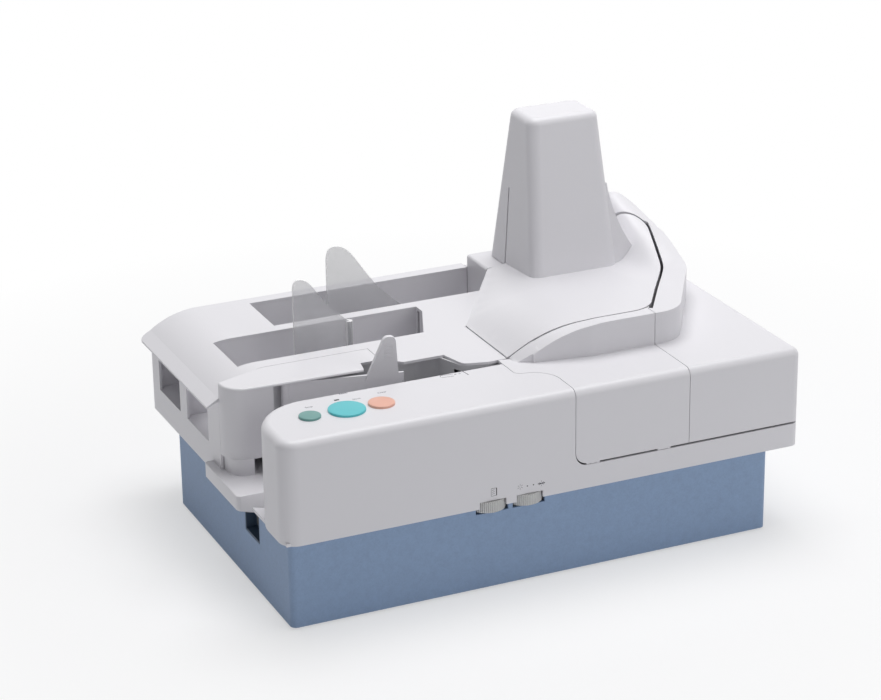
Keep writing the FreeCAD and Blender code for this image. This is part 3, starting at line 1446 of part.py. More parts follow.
def make_rollers():
    pulley_top = s.pulley_bottom + s.pulley_width
    for i, place in enumerate(drive_places(), start=1):
        profile = [(0, s.pulley_bottom), (s.pulley_radius, s.pulley_bottom),
                   (s.pulley_radius, pulley_top), (s.drive_shaft, pulley_top),
                   (s.drive_shaft, s.core_bottom)]
        shaped(f"drive_roller_{i}", roller("drive", place, s.drive_radius, s.drive_core,
                                           s.core_bottom, profile))
    bore = s.pinch_bore + s.running_gap
    hole = s.core_bottom - s.overrun
    for i, place in enumerate(pinch_places(), start=1):
        body = roller("pinch", place, s.pinch_radius, s.pinch_core, s.core_bottom,
                      [(0, s.core_bottom)])
        shaped(f"pinch_roller_{i}", body.cut(upright_rod(place.x, place.y, bore, hole,
                                                         s.roller_top + s.overrun)))
    feed = feed_centre()
    body = roller("feed", feed, s.feed_radius, s.feed_core, s.core_bottom, [(0, s.core_bottom)])
    shaped("feed_roller", body.cut(upright_rod(feed.x, feed.y, bore, hole,
                                               s.tyre_low + s.running_gap)))
    retard = retard_place()
    body = roller("retard", retard, s.retard_radius, s.drive_core, s.core_bottom,
                  [(0, s.core_bottom)])
    shaped("retard_roller", body.cut(upright_rod(retard.x, retard.y, bore, hole,
                                                 s.roller_top + s.overrun)))
    axles = []
    for place in pinch_places() + [retard]:
        collar = upright_rod(place.x, place.y, s.drive_shaft, CHASSIS_LEVEL,
                             s.core_bottom - s.face_gap)
        axles.append(collar.fuse(upright_rod(place.x, place.y, s.pinch_bore, CHASSIS_LEVEL,
                                             s.roller_top + s.face_gap)))
    shaped("roller_axles", Part.makeCompound(axles))
    bushes = []
    for place in drive_places():
        ring = upright_rod(place.x, place.y, s.bush_radius, s.base_top + s.wheel_gap,
                           s.core_bottom - s.face_gap)
        bushes.append(ring.cut(upright_rod(place.x, place.y, s.drive_shaft + s.running_gap,
                                           s.base_top, s.core_bottom)))
    shaped("shaft_bushes", Part.makeCompound(bushes))


def make_motors():
    place = motor_place()
    motor = upright_rod(place.x, place.y, s.motor_radius, CHASSIS_LEVEL,
                        CHASSIS_LEVEL + s.motor_height)
    motor = soften(motor, s.casing_wall, lambda edge: at_level(edge, CHASSIS_LEVEL + s.motor_height))
    bore = s.motor_shaft + s.running_gap
    motor = motor.cut(upright_rod(place.x, place.y, bore, s.base_top, s.track_floor))
    shaped("drive_motor", motor)
    pulley = upright_rod(place.x, place.y, s.pulley_radius, s.pulley_bottom,
                         s.pulley_bottom + s.pulley_width)
    stem = upright_rod(place.x, place.y, s.motor_shaft, s.pulley_bottom,
                       s.track_floor - s.running_gap)
    shaped("motor_pulley", pulley.fuse(stem))
    loop_points = drive_places() + [place]
    ring = Part.makePolygon(loop_points + loop_points[:1])
    inner = Part.Face(ring.makeOffset2D(s.pulley_radius + s.running_gap))
    outer = Part.Face(ring.makeOffset2D(s.pulley_radius + s.running_gap + s.belt_thickness))
    belt = outer.cut(inner).extrude(Vector(0, 0, s.belt_width))
    belt.translate(Vector(0, 0, s.pulley_bottom + (s.pulley_width - s.belt_width) / 2))
    shaped("drive_belt", belt)
    feed = feed_centre()
    can = upright_rod(feed.x, feed.y, s.feed_motor_radius, s.base_top - s.feed_motor_height,
                      s.base_top)
    stem = upright_rod(feed.x, feed.y, s.pinch_bore, s.base_top, s.tyre_low)
    shaped("feed_motor", can.fuse(stem))


def make_gate():
    low = s.track_floor + s.paddle_foot
    high = s.track_top - s.lever_thickness
    place = s.gate_place
    middle = s.track_rear_row
    blade = block(*plan((place, middle - s.gate_pin, 0), (place, middle + s.gate_pin, 0),
                        (place - s.gate_length, middle + s.gate_pin / 3, 0),
                        (place - s.gate_length, middle - s.gate_pin / 3, 0)), low, high)
    shaft = upright_rod(place, middle, s.gate_pin, CHASSIS_LEVEL + s.face_gap, high)
    arm = box(place - s.gate_pin, middle - s.lever_reach, CHASSIS_LEVEL + s.face_gap,
              place + s.gate_pin, middle, CHASSIS_LEVEL + s.face_gap + s.lever_thickness)
    shaped("diverter_gate", shaft.multiFuse([blade, arm]))
    half = s.solenoid_size / 2
    coil = box(place + s.solenoid_gap, middle - s.lever_reach - half, CHASSIS_LEVEL,
               place + s.solenoid_gap + s.solenoid_size * 1.4, middle - s.lever_reach + half,
               CHASSIS_LEVEL + s.solenoid_size)
    coil = soften(coil, s.wheel_gap, lambda edge: edge.BoundBox.XLength > s.solenoid_size)
    level = CHASSIS_LEVEL + s.face_gap + s.lever_thickness / 2
    rod = Part.makeCylinder(s.gate_pin * 0.8, s.solenoid_gap - s.gate_pin - s.solenoid_clearance,
                            Vector(place + s.gate_pin + s.solenoid_clearance,
                                   middle - s.lever_reach + s.gate_pin, level), Vector(1, 0, 0))
    shaped("gate_solenoid", coil.fuse(rod))


# The crowned covers

def share_of(value, start, end):
    """How far a value lies between two others, from none to all."""
    return min(max((value - start) / (end - start), 0), 1)


def eased(value, start, end):
    """The same share with a soft start and end."""
    share = share_of(value, start, end)
    return share * share * (3 - 2 * share)


def crown_level(x, y):
    """Height of the hood and of the rim round it over a place in plan."""
    back = share_of(y, s.hood_corner, s.track_rear_row)
    left = s.hood_left + (s.ramp_end - s.hood_left) * back
    left += s.rim_skew * max(0, s.track_feed_row - y)
    low = s.cover_level + (s.block_top - s.cover_level) * back
    outward = eased(x, s.dish_side, s.track_rear_side)
    dish = eased(y, s.dish_start, s.tower_foot_front) * (1 - outward)
    flat = s.rim_level - (s.rim_level - s.tower_foot) * dish
    climb = 1 - (1 - share_of(x, left, left + s.ramp_length)) ** s.ramp_power
    behind = share_of(y, s.rise_start, s.rise_end)
    fall = 1 - eased(y, s.rise_end, s.rim_rear + s.rim_lead)
    rise = s.rise_height * behind * fall * eased(x, s.dish_side, s.rise_side)
    rise *= 1 - s.outer_fall_share * eased(x, s.gusset_toe, s.housing_length)
    return low + (flat - low) * climb + rise


def crown(drop):
    """Everything under the crowned surface, lowered by a distance."""
    left = s.hood_left - s.overrun
    right = s.housing_length
    front = s.rim_foot - s.overrun
    rear = s.rim_rear + s.overrun
    columns = [left + (right - left) * i / 24 for i in range(25)]
    rows = [front + (rear - front) * i / 28 for i in range(29)]
    surface = Part.BSplineSurface()
    surface.interpolate([[Vector(x, y, crown_level(x, y) - drop) for y in rows]
                         for x in columns])
    return surface.toShape().extrude(Vector(0, 0, s.track_floor - s.rim_level))


def hood_outline():
    """Plan outline of the hood, inside the slot that the documents run in."""
    points, radii = beside(track_points()[1:], TRACK_RADII[1:], s.slot_half)
    start = Vector(s.hood_left + s.seam / 2, points[0].y, 0)
    end = Vector(s.block_left + s.seam, s.track_rear_row - s.rear_slot_half, 0)
    corner = Vector(s.hood_left + s.seam / 2, s.hood_corner, 0)
    return [start] + points[1:-1] + [end, corner], [0] + radii + [0, 0]


def tower(shrink, low):
    """The tower, made smaller all round by a distance."""
    reach = (s.tower_foot - low) / (s.tower_top - s.tower_foot)
    rings = []
    for share, level in ((-reach, low), (1, s.tower_top - shrink)):
        half = s.tower_foot_half + (s.tower_top_half - s.tower_foot_half) * share - shrink
        front = s.tower_foot_front + (s.tower_top_front - s.tower_foot_front) * share + shrink
        rear = s.tower_foot_rear + (s.tower_top_rear - s.tower_foot_rear) * share - shrink
        corners = [Vector(s.tower_middle + side * half, y, level)
                   for side, y in ((-1, front), (1, front), (1, rear), (-1, rear))]
        rings.append(corners)
    foot, head = rings
    sides = [(foot[i - 1], foot[i], head[i], head[i - 1]) for i in range(4)]
    faces = [Part.Face(Part.makePolygon(list(side) + [side[0]])) for side in sides + [foot, head]]
    solid = Part.Solid(Part.Shell(faces))
    if shrink:
        return solid.makeChamfer(s.tower_crown - shrink, solid.Edges)
    solid = soften(solid, s.tower_corner, lambda edge: edge.BoundBox.ZLength > s.tower_corner)
    return soften(solid, s.tower_crown, lambda edge: at_level(edge, s.tower_top))


def gusset(shrink, low):
    """The web beside the tower, which leans with it, made smaller by a distance."""
    lean = (s.tower_top_front - s.tower_foot_front) / (s.tower_top - s.tower_foot)
    front = s.gusset_front + shrink

    def spot(place, level):
        return Vector(place, front + lean * (level - s.tower_foot), level)

    inside = s.tower_middle + s.tower_top_half / 2
    side = s.tower_middle + s.tower_foot_half - s.gusset_sag - shrink
    toe = s.gusset_toe - shrink
    middle = spot((side + toe) / 2 - s.gusset_sag, (s.gusset_top + s.tower_foot) / 2 - s.gusset_sag)
    corners = [spot(toe, s.tower_foot), spot(toe, low), spot(inside, low),
               spot(inside, s.gusset_top - shrink), spot(side, s.gusset_top - shrink)]
    edges = [Part.LineSegment(first, last).toShape() for first, last in zip(corners, corners[1:])]
    edges.append(Part.Arc(corners[-1], middle, corners[0]).toShape())
    return face_of(edges).extrude(Vector(0, s.gusset_rear - shrink - front, 0))


def make_upper_cover():
    points, radii = hood_outline()
    hood = block(points, radii, UNDERSIDE, s.tower_top).common(crown(0))
    inside = block(*inset(points, radii, s.casing_wall), UNDERSIDE - s.overrun, s.tower_top)
    inside = inside.common(crown(s.casing_wall))
    below = box(s.skirt_place, 0, UNDERSIDE - s.overrun, s.housing_length, s.skirt_row, s.skirt_level)
    cover = hood.cut(below).multiFuse([tower(0, s.block_top + s.seam), gusset(0, UNDERSIDE)])
    cover = cover.cut(inside).cut(tower(s.casing_wall, UNDERSIDE - s.overrun))
    cover = cover.cut(gusset(s.casing_wall, UNDERSIDE - s.overrun))
    track = ribbon(track_points(), TRACK_RADII, -s.slot_half, s.slot_half, UNDERSIDE - s.overrun,
                   s.tower_slit_top)
    slit = box(s.block_left - s.overrun, s.track_rear_row - s.rear_slot_half, UNDERSIDE - s.overrun,
               s.track_rear_right, s.track_rear_row + s.rear_slot_half, s.tower_slit_top)
    cover = cover.cut(track).cut(slit)
    barrels = []
    for left in (s.knuckle_left, s.knuckle_right - s.knuckle_length):
        barrels.append(cover_barrel(left, s.knuckle_length, s.knuckle_radius))
        barrels.append(box(left, tower_rear(s.cover_axis_level) - s.casing_wall / 2,
                           s.cover_axis_level - s.knuckle_pin, left + s.knuckle_length,
                           s.cover_axis_row, s.cover_axis_level + s.knuckle_radius))
    cover = cover.multiFuse(barrels)
    bore = cover_barrel(s.knuckle_left - s.overrun,
                        s.knuckle_right - s.knuckle_left + 2 * s.overrun,
                        s.knuckle_pin + s.running_gap)
    shaped("upper_cover", cover.cut(bore))


def tower_rear(level):
    """Row of the tower's rear face at a height."""
    share = share_of(level, s.tower_foot, s.tower_top)
    return s.tower_foot_rear + (s.tower_top_rear - s.tower_foot_rear) * share


def cover_barrel(left, length, radius):
    """A round bar on the hinge line of the upper cover."""
    return Part.makeCylinder(radius, length, Vector(left, s.cover_axis_row, s.cover_axis_level),
                             Vector(1, 0, 0))


def rim_block(shrink):
    """The raised rim with the hood's room still in it, made smaller by a distance."""
    points, radii = plan((s.hood_left + s.seam, s.track_feed_row - s.seam, 0),
                         (s.rim_start_place, s.rim_start_row, 0),
                         (s.track_front_left, s.rim_foot, s.front_bend),
                         (s.rim_shoulder, s.rim_foot, s.corner_bend),
                         (s.rim_side, s.rim_side_row, s.side_bend),
                         (s.rim_rear_side, s.rim_rear_corner, s.side_bend),
                         (s.rim_rear_side, s.rim_rear, s.rear_bend),
                         (saddle_end() + s.seam, s.rim_rear, s.edge_radius),
                         (saddle_end() + s.seam, s.track_rear_row, 0))
    if shrink:
        points, radii = inset(points, radii, shrink)
    return block(points, radii, UNDERSIDE, s.tower_top).common(crown(shrink))


def island(low, high):
    """The room of the hood and of the document slot round it."""
    points, radii = beside(track_points()[1:], TRACK_RADII[1:], -s.slot_half)
    start = Vector(s.hood_left - s.overrun, points[0].y, 0)
    end = Vector(s.block_left - s.overrun, s.track_rear_row + s.rear_slot_half, 0)
    corner = Vector(s.hood_left - s.overrun, s.track_rear_row + s.rear_slot_half, 0)
    room = block([start] + points[1:-1] + [end, corner], [0] + radii + [0, 0], low, high)
    wide = ribbon(track_points()[3:6], [s.side_bend], -s.wide_slot_half, s.wide_slot_half, low, high)
    lift_half = s.rear_slot_half + 2 * s.face_gap
    lift = ribbon(track_points()[4:], [s.rear_bend, s.rear_bend], -lift_half, lift_half, low, high)
    straight = box(s.block_left, s.track_rear_row - s.overrun, low, s.track_rear_right - s.rear_bend,
                   s.track_rear_row + s.rear_slot_half, high)
    return room.multiFuse([wide, lift, straight])


def make_front_cover():
    left = s.front_seam + s.seam
    right = s.side_seam - s.seam / 2
    rear = s.track_feed_row
    outer = box(left, 0, s.cover_bottom, right, rear, s.cover_level)
    outer = soften(outer, s.edge_radius, lambda edge: at_level(edge, s.cover_level)
                   and edge.BoundBox.YMax < s.overrun)
    inside = box(left - s.overrun, s.casing_wall, s.cover_bottom - s.overrun, right + s.overrun,
                 rear + s.overrun, UNDERSIDE)
    inside = soften(inside, s.edge_radius - s.casing_wall, lambda edge: at_level(edge, UNDERSIDE)
                    and edge.BoundBox.YMax < s.overrun)
    cover = outer.cut(inside)
    corner, bends = plan((left, s.cover_bottom, s.door_corner), (right, s.cover_bottom, 0),
                         (right, s.cover_level, 0), (left, s.cover_level, 0))
    outline = face_of(ring_of(corner, bends))
    outline.rotate(Vector(), Vector(1, 0, 0), 90)
    outline.translate(Vector(0, s.housing_depth, 0))
    cover = cover.common(outline.extrude(Vector(0, -s.housing_depth, 0)))
    bend = s.panel_seam_radius + s.seam
    tongue, bends = plan((s.tongue_left + s.seam, s.tongue_front + s.seam,
                          s.tongue_inner_radius - s.seam),
                         (left, s.tongue_front + s.seam, bend),
                         (left, s.tongue_front - bend, 0),
                         (left + s.casing_wall, s.tongue_front - bend, 0),
                         (left + s.casing_wall, rear, 0), (s.tongue_left + s.seam, rear, 0))
    cover = cover.fuse(block(tongue, bends, UNDERSIDE, s.cover_level))
    slab = box(left - s.overrun, 0, UNDERSIDE - s.overrun, right, s.housing_depth, s.tower_top)
    cover = cover.fuse(rim_block(0).common(slab))
    cover = cover.cut(rim_block(s.casing_wall).common(slab))
    cover = cover.cut(island(UNDERSIDE - s.overrun, s.tower_top))
    cover = cover.cut(door_lugs(s.face_gap))
    for x in (s.door_knuckle_left, s.door_knuckle_right):
        cover = cover.fuse(door_knuckle(x, s.door_knuckle_length, s.door_knuckle))
    shaped("front_cover", cover.cut(door_bore()))


def saddle_end():
    """Right end of the cover behind the tower."""
    return s.tower_middle + s.tower_foot_half + s.rim_lead


def make_right_cover():
    left = s.side_seam + s.seam / 2
    points, radii = plan((left, 0, 0), (s.housing_length, 0, s.edge_radius),
                         (s.housing_length, s.housing_depth, s.edge_radius),
                         (left, s.housing_depth, 0))
    cover = casing(points, radii, s.cover_bottom, s.cover_level, s.edge_radius,
                   lambda middle: middle.y < 2 * s.casing_wall)
    cover = cover.cut(box(left - s.overrun, s.casing_wall, s.cover_bottom - s.overrun,
                          left + 2 * s.casing_wall, s.housing_depth - s.casing_wall, UNDERSIDE))
    cover = cover.fuse(rim_block(0).cut(box(0, 0, UNDERSIDE - s.overrun, left, s.housing_depth,
                                            s.tower_top)))
    cover = cover.cut(rim_block(s.casing_wall))
    behind = box(left - s.overrun, s.track_rear_row, s.cover_bottom - s.overrun,
                 saddle_end() + s.seam, s.housing_depth + s.overrun, s.tower_top)
    cover = cover.cut(behind)
    cover = cover.cut(island(UNDERSIDE - s.overrun, s.tower_top))
    beside_tower = box(left - s.overrun, s.tower_foot_front, UNDERSIDE - s.overrun,
                       s.tower_middle + s.tower_foot_half + s.seam, s.housing_depth, s.tower_top)
    shaped("right_cover", cover.cut(beside_tower))


def make_rear_cover():
    left = s.block_left
    right = saddle_end()
    front = s.track_rear_row + s.rear_slot_half
    rear = s.housing_depth
    saddle = box(left, front, s.cover_bottom, right, s.block_rear, s.block_top)
    saddle = soften(saddle, s.block_rounding, lambda edge: at_level(edge, s.block_top)
                    and edge.BoundBox.XMax < right and edge.BoundBox.YLength > s.overrun)
    step = box(left, s.block_rear - s.casing_wall, s.cover_bottom, right, rear, s.cover_level)
    step = soften(step, s.edge_radius, lambda edge: at_level(edge, s.cover_level)
                  and edge.BoundBox.YMin > rear - s.seam)
    wall = s.casing_wall
    room = box(left + wall, front - s.overrun, s.cover_bottom - s.overrun, right + s.overrun,
               s.block_rear - wall, UNDERSIDE)
    upper = box(left + wall, front + wall, UNDERSIDE - s.overrun, right + s.overrun,
                s.block_rear - wall, s.block_top - wall)
    lower = box(left + wall, s.block_rear - 2 * wall, s.cover_bottom - s.overrun, right + s.overrun,
                rear - wall, s.cover_level - wall)
    lower = soften(lower, s.edge_radius - wall, lambda edge: at_level(edge, s.cover_level - wall)
                   and edge.BoundBox.YMin > rear - 2 * wall)
    exit_slot = box(left - s.overrun, front - s.overrun, s.cover_bottom - s.overrun,
                    left + s.overrun, s.track_rear_row + s.gate_mouth / 2, s.track_top)
    cover = saddle.fuse(step).cut(room).cut(upper).cut(lower).cut(exit_slot)
    lugs = []
    for x in lug_places():
        lug = cover_barrel(x, s.lug_length, s.knuckle_radius)
        foot = box(x, s.cover_axis_row - s.knuckle_pin / 2, s.block_top - wall,
                   x + s.lug_length, s.cover_axis_row + s.knuckle_radius, s.cover_axis_level)
        lugs.append(lug.fuse(foot))
    cover = cover.multiFuse(lugs)
    cover = cover.cut(cover_barrel(left, right - left + s.overrun, s.knuckle_pin))
    shaped("rear_cover", cover)


def lug_places():
    """Left ends of the fixed hinge lugs, one inside each moving knuckle."""
    return [s.knuckle_left + s.knuckle_length + s.face_gap,
            s.knuckle_right - s.knuckle_length - s.face_gap - s.lug_length]


def make_hinge_pins():
    left_lug, right_lug = lug_places()
    pins = [cover_barrel(s.knuckle_left, left_lug + s.lug_length - s.knuckle_left, s.knuckle_pin),
            cover_barrel(right_lug, s.knuckle_right - right_lug, s.knuckle_pin)]
    reach = s.door_pin_reach
    pins += [door_knuckle(x - reach, s.door_knuckle_length + 2 * reach, s.door_pin)
            for x in (s.door_knuckle_left, s.door_knuckle_right)]
    shaped("hinge_pins", Part.makeCompound(pins))


def build():
    make_base()
    make_switch()
    make_sockets()
    make_fan()
    make_electrics()
    make_tray()
    make_chassis()
    make_hopper_floor()
    make_front_panel()
    make_keys()
    pins = make_wheels()
    make_hopper_cover()
    make_hopper_wall()
    pins += make_pusher()
    make_stacker_cover()
    make_stacker_body()
    pins += make_paddles()
    shaped("pivot_pins", Part.makeCompound(pins))
    make_track()
    make_reading_parts()
    make_rollers()
    make_motors()
    make_gate()
    make_upper_cover()
    make_front_cover()
    make_right_cover()
    make_rear_cover()
    make_hinge_pins()


build()
doc.recompute()
for thing in doc.Objects:
    if {"Invalid", "Error"} & set(thing.State):
        raise RuntimeError(f"{thing.Name} in {thing.Label} is broken: {thing.State}")
os.makedirs("parts", exist_ok=True)
for part in parts:
    shape = part.Shape
    if shape.isNull() or not shape.isValid() or not shape.Solids:
        raise RuntimeError(f"{part.Label} has no valid solid")
    part.Shape.exportStep(f"parts/{part.Label}.step")
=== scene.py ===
"""Looks of a desktop cheque scanner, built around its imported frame.

Lengths are in metres. The frame's +X runs to the right along the machine, +Y to its rear and +Z up.
"""

from __future__ import annotations

import functools
import logging
import math
from dataclasses import dataclass, field
from enum import Enum
from typing import Callable, Sequence, Union

import bmesh
import bpy
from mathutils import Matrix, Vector

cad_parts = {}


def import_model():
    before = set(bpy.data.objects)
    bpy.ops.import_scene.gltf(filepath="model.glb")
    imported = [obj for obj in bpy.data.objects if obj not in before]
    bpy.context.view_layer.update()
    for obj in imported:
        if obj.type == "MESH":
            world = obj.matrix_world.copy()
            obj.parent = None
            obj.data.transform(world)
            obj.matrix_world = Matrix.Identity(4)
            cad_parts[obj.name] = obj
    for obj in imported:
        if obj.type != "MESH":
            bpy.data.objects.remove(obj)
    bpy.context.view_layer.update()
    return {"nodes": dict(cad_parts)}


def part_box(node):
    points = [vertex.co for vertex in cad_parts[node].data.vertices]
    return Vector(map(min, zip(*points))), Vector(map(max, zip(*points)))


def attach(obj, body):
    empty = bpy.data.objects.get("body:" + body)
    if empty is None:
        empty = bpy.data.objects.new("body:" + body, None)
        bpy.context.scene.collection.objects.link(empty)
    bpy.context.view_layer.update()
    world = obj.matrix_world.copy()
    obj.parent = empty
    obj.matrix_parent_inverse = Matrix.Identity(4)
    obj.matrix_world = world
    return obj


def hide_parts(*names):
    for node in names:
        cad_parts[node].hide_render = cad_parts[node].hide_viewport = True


LOG = logging.getLogger("cheque_scanner")
Pair = tuple[float, float]
Triple = tuple[float, float, float]
MM = 0.001
WHITE = (1.0, 1.0, 1.0, 1.0)
UPWARD = 0.9
MERGED = 0.01 * MM


class Sheen(Enum):
    """How fine the moulded grain of a surface is."""

    POLISHED = 0.0
    SATIN = 0.00002
    MATT = 0.00006
    COARSE = 0.00012


class Detail(Enum):
    """How many finer layers a noise has."""

    PLAIN = 1.0
    RICH = 3.0


# Shader maths


class Field:
    """A value that varies over a surface, with Python's operators on it."""

    def __init__(self, shader: "Shader", socket: bpy.types.NodeSocket) -> None:
        """Keeps the socket.

        Args:
            shader: The shader whose nodes the value comes from.
            socket: The output that carries the value.
        """
        self.shader = shader
        self.socket = socket

    def _math(self, operation: str, first: "Value", second: "Value") -> "Field":
        """Joins two values by a Math node.

        Args:
            operation: The node's operation.
            first: The first value.
            second: The second value.

        Returns:
            The result.
        """
        return self.shader.node("ShaderNodeMath", {"operation": operation}, {0: first, 1: second})

    def __add__(self, other: "Value") -> "Field":
        """Returns the sum."""
        return self._math("ADD", self, other)

    __radd__ = __add__

    def __sub__(self, other: "Value") -> "Field":
        """Returns the difference."""
        return self._math("SUBTRACT", self, other)

    def __rsub__(self, other: "Value") -> "Field":
        """Returns the difference the other way round."""
        return self._math("SUBTRACT", other, self)

    def __mul__(self, other: "Value") -> "Field":
        """Returns the product."""
        return self._math("MULTIPLY", self, other)

    __rmul__ = __mul__

    def __abs__(self) -> "Field":
        """Returns the value without its sign."""
        return self._math("ABSOLUTE", self, 0.0)

    def under(self, limit: float) -> "Field":
        """Returns 1 where the value is under a limit."""
        return self._math("LESS_THAN", self, limit)

    def around(self, other: "Value") -> "Field":
        """Returns the angle of a place whose second coordinate is this one."""
        return self._math("ARCTAN2", self, other)

    def wave(self) -> "Field":
        """Returns the sine."""
        return self._math("SINE", self, 0.0)

    def larger(self, other: "Value") -> "Field":
        """Returns the larger of two values."""
        return self._math("MAXIMUM", self, other)

    def beside(self, output: object) -> "Field":
        """Returns another output of the node that this value comes from."""
        return Field(self.shader, self.socket.node.outputs[output])


Value = Union[Field, float]


class Shader:
    """The nodes of a material or of the world."""

    def __init__(self, tree: bpy.types.NodeTree) -> None:
        """Keeps the nodes.

        Args:
            tree: The node tree.
        """
        self.tree = tree

    def node(self, kind: str, settings: dict[str, object], values: dict,
             output: object = 0) -> Field:
        """Adds a node.

        Args:
            kind: The node's type.
            settings: What is set on the node itself, before its sockets.
            values: Numbers, colours or links for its sockets.
            output: The output to return.

        Returns:
            The chosen output.
        """
        made = self.tree.nodes.new(kind)
        for key, value in settings.items():
            setattr(made, key, value)
        for key, value in values.items():
            if isinstance(value, Field):
                self.tree.links.new(value.socket, made.inputs[key])
            else:
                made.inputs[key].default_value = value
        return Field(self, made.outputs[output])

    def seen(self) -> Field:
        """Returns 1 for what is seen, directly or in a gloss, and 0 for what lights."""
        ray = self.node("ShaderNodeLightPath", {}, {}, "Is Camera Ray")
        shown = ray
        for other in ("Is Glossy Ray", "Is Transmission Ray"):
            shown = shown.larger(ray.beside(other))
        return shown

    def show(self, output: str, share: Field, first: Field, second: Field) -> None:
        """Mixes two shaders into an output.

        Args:
            output: The output node's name.
            share: How much of the second shader there is.
            first: The first shader.
            second: The second shader.
        """
        mixed = self.node("ShaderNodeMixShader", {}, {0: share, 1: first, 2: second})
        self.tree.links.new(mixed.socket, self.tree.nodes[output].inputs[0])


class Surface(Shader):
    """One material and the nodes in it."""

    def __init__(self, name: str) -> None:
        """Makes the material.

        Args:
            name: The material's name.
        """
        self.material = bpy.data.materials.new(name)
        self.material.use_nodes = True
        super().__init__(self.material.node_tree)
        self.surface = self.tree.nodes["Principled BSDF"]
        self.place = self.node("ShaderNodeTexCoord", {}, {}, "Object")
        self.facing = self.node("ShaderNodeTexCoord", {}, {}, "Normal")

    def noise(self, size: float, detail: Detail, place: Union[Field, None] = None) -> Field:
        """Returns noise whose grains are about a size.

        Args:
            size: The size of a grain.
            detail: How many finer layers it has.
            place: Where it is read, if not at the surface's own place.

        Returns:
            The noise, from 0 to 1.
        """
        return self.node("ShaderNodeTexNoise", {}, {"Vector": place or self.place,
                                                    "Scale": 1 / size, "Detail": detail.value})

    def blend(self, share: Field, first: Sequence[float], second: Sequence[float]) -> Field:
        """Mixes two colours.

        Args:
            share: How much of the second colour there is.
            first: The first colour.
            second: The second colour.

        Returns:
            The mixed colour.
        """
        return self.node("ShaderNodeMix", {"data_type": "RGBA"},
                         {0: share, 6: (*first, 1.0), 7: (*second, 1.0)}, 2)

    def feed(self, name: str, value: Value) -> None:
        """Sets or links a socket of the surface.

        Args:
            name: The socket's name.
            value: The number or link.
        """
        if isinstance(value, Field):
            self.tree.links.new(value.socket, self.surface.inputs[name])
        else:
            self.surface.inputs[name].default_value = value

    def bump(self, height: Field, depth: float) -> None:
        """Gives the surface relief.

        Args:
            height: The relief's height, from 0 to 1.
            depth: The depth that 1 stands for.
        """
        self.feed("Normal", self.node("ShaderNodeBump", {},
                                      {"Strength": 1.0, "Distance": depth, "Height": height}))


def tinted(colour: Triple, factor: float) -> Triple:
    """Returns a colour made lighter or darker by a factor."""
    return tuple(min(1.0, part * factor) for part in colour)


@dataclass(frozen=True)
class Plastic:
    """Moulded plastic with a fine grain."""

    name: str
    colour: Triple
    roughness: float
    sheen: Sheen
    grain: float = 0.0007
    mottle: float = 0.02
    patch: float = 0.03
    wear: float = 0.08

    def build(self) -> bpy.types.Material:
        """Returns the material."""
        shader = Surface(self.name)
        patches = shader.noise(self.patch, Detail.RICH)
        fine = shader.noise(self.grain, Detail.PLAIN)
        share = patches * 0.5 + fine * 0.5
        shader.feed("Base Color", shader.blend(share, tinted(self.colour, 1 - self.mottle),
                                               tinted(self.colour, 1 + self.mottle)))
        shader.feed("Roughness", patches * self.wear + (self.roughness - self.wear / 2))
        if self.sheen is not Sheen.POLISHED:
            shader.bump(fine, self.sheen.value)
        return shader.material


@dataclass(frozen=True)
class Metal:
    """Metal with brush marks or a rolled surface."""

    name: str
    colour: Triple
    roughness: float
    stretch: Triple = (1.0, 1.0, 1.0)
    grain: float = 0.002
    tints: Pair = (0.9, 1.08)
    wear: float = 0.2
    relief: float = 0.00001

    def build(self) -> bpy.types.Material:
        """Returns the material."""
        shader = Surface(self.name)
        turned = shader.node("ShaderNodeMapping", {},
                             {"Vector": shader.place, "Scale": self.stretch})
        marks = shader.noise(self.grain, Detail.RICH, turned)
        dull, bright = (tinted(self.colour, tint) for tint in self.tints)
        shader.feed("Base Color", shader.blend(marks, dull, bright))
        shader.feed("Metallic", 1.0)
        shader.feed("Roughness", marks * self.wear + (self.roughness - self.wear / 2))
        shader.bump(marks, self.relief)
        return shader.material


@dataclass(frozen=True)
class Ribbed:
    """Plastic with fine ribs round an upright axis, with painted shade in the valleys between the
    ribs.
    """

    name: str
    colour: Triple
    axis: Pair
    ribs: int = 60
    depth: float = 0.0006
    valley_shade: float = 0.8
    roughness: float = 0.45

    def build(self) -> bpy.types.Material:
        """Returns the material."""
        shader = Surface(self.name)
        split = shader.node("ShaderNodeSeparateXYZ", {}, {0: shader.place})
        across = split - self.axis[0]
        along = split.beside(1) - self.axis[1]
        wave = (along.around(across) * float(self.ribs)).wave() * 0.5 + 0.5
        # Painted shade: the colour is darker in the valleys between the ribs.
        shader.feed("Base Color", shader.blend(wave, tinted(self.colour, self.valley_shade),
                                               self.colour))
        shader.feed("Roughness", self.roughness)
        shader.bump(wave, self.depth)
        return shader.material


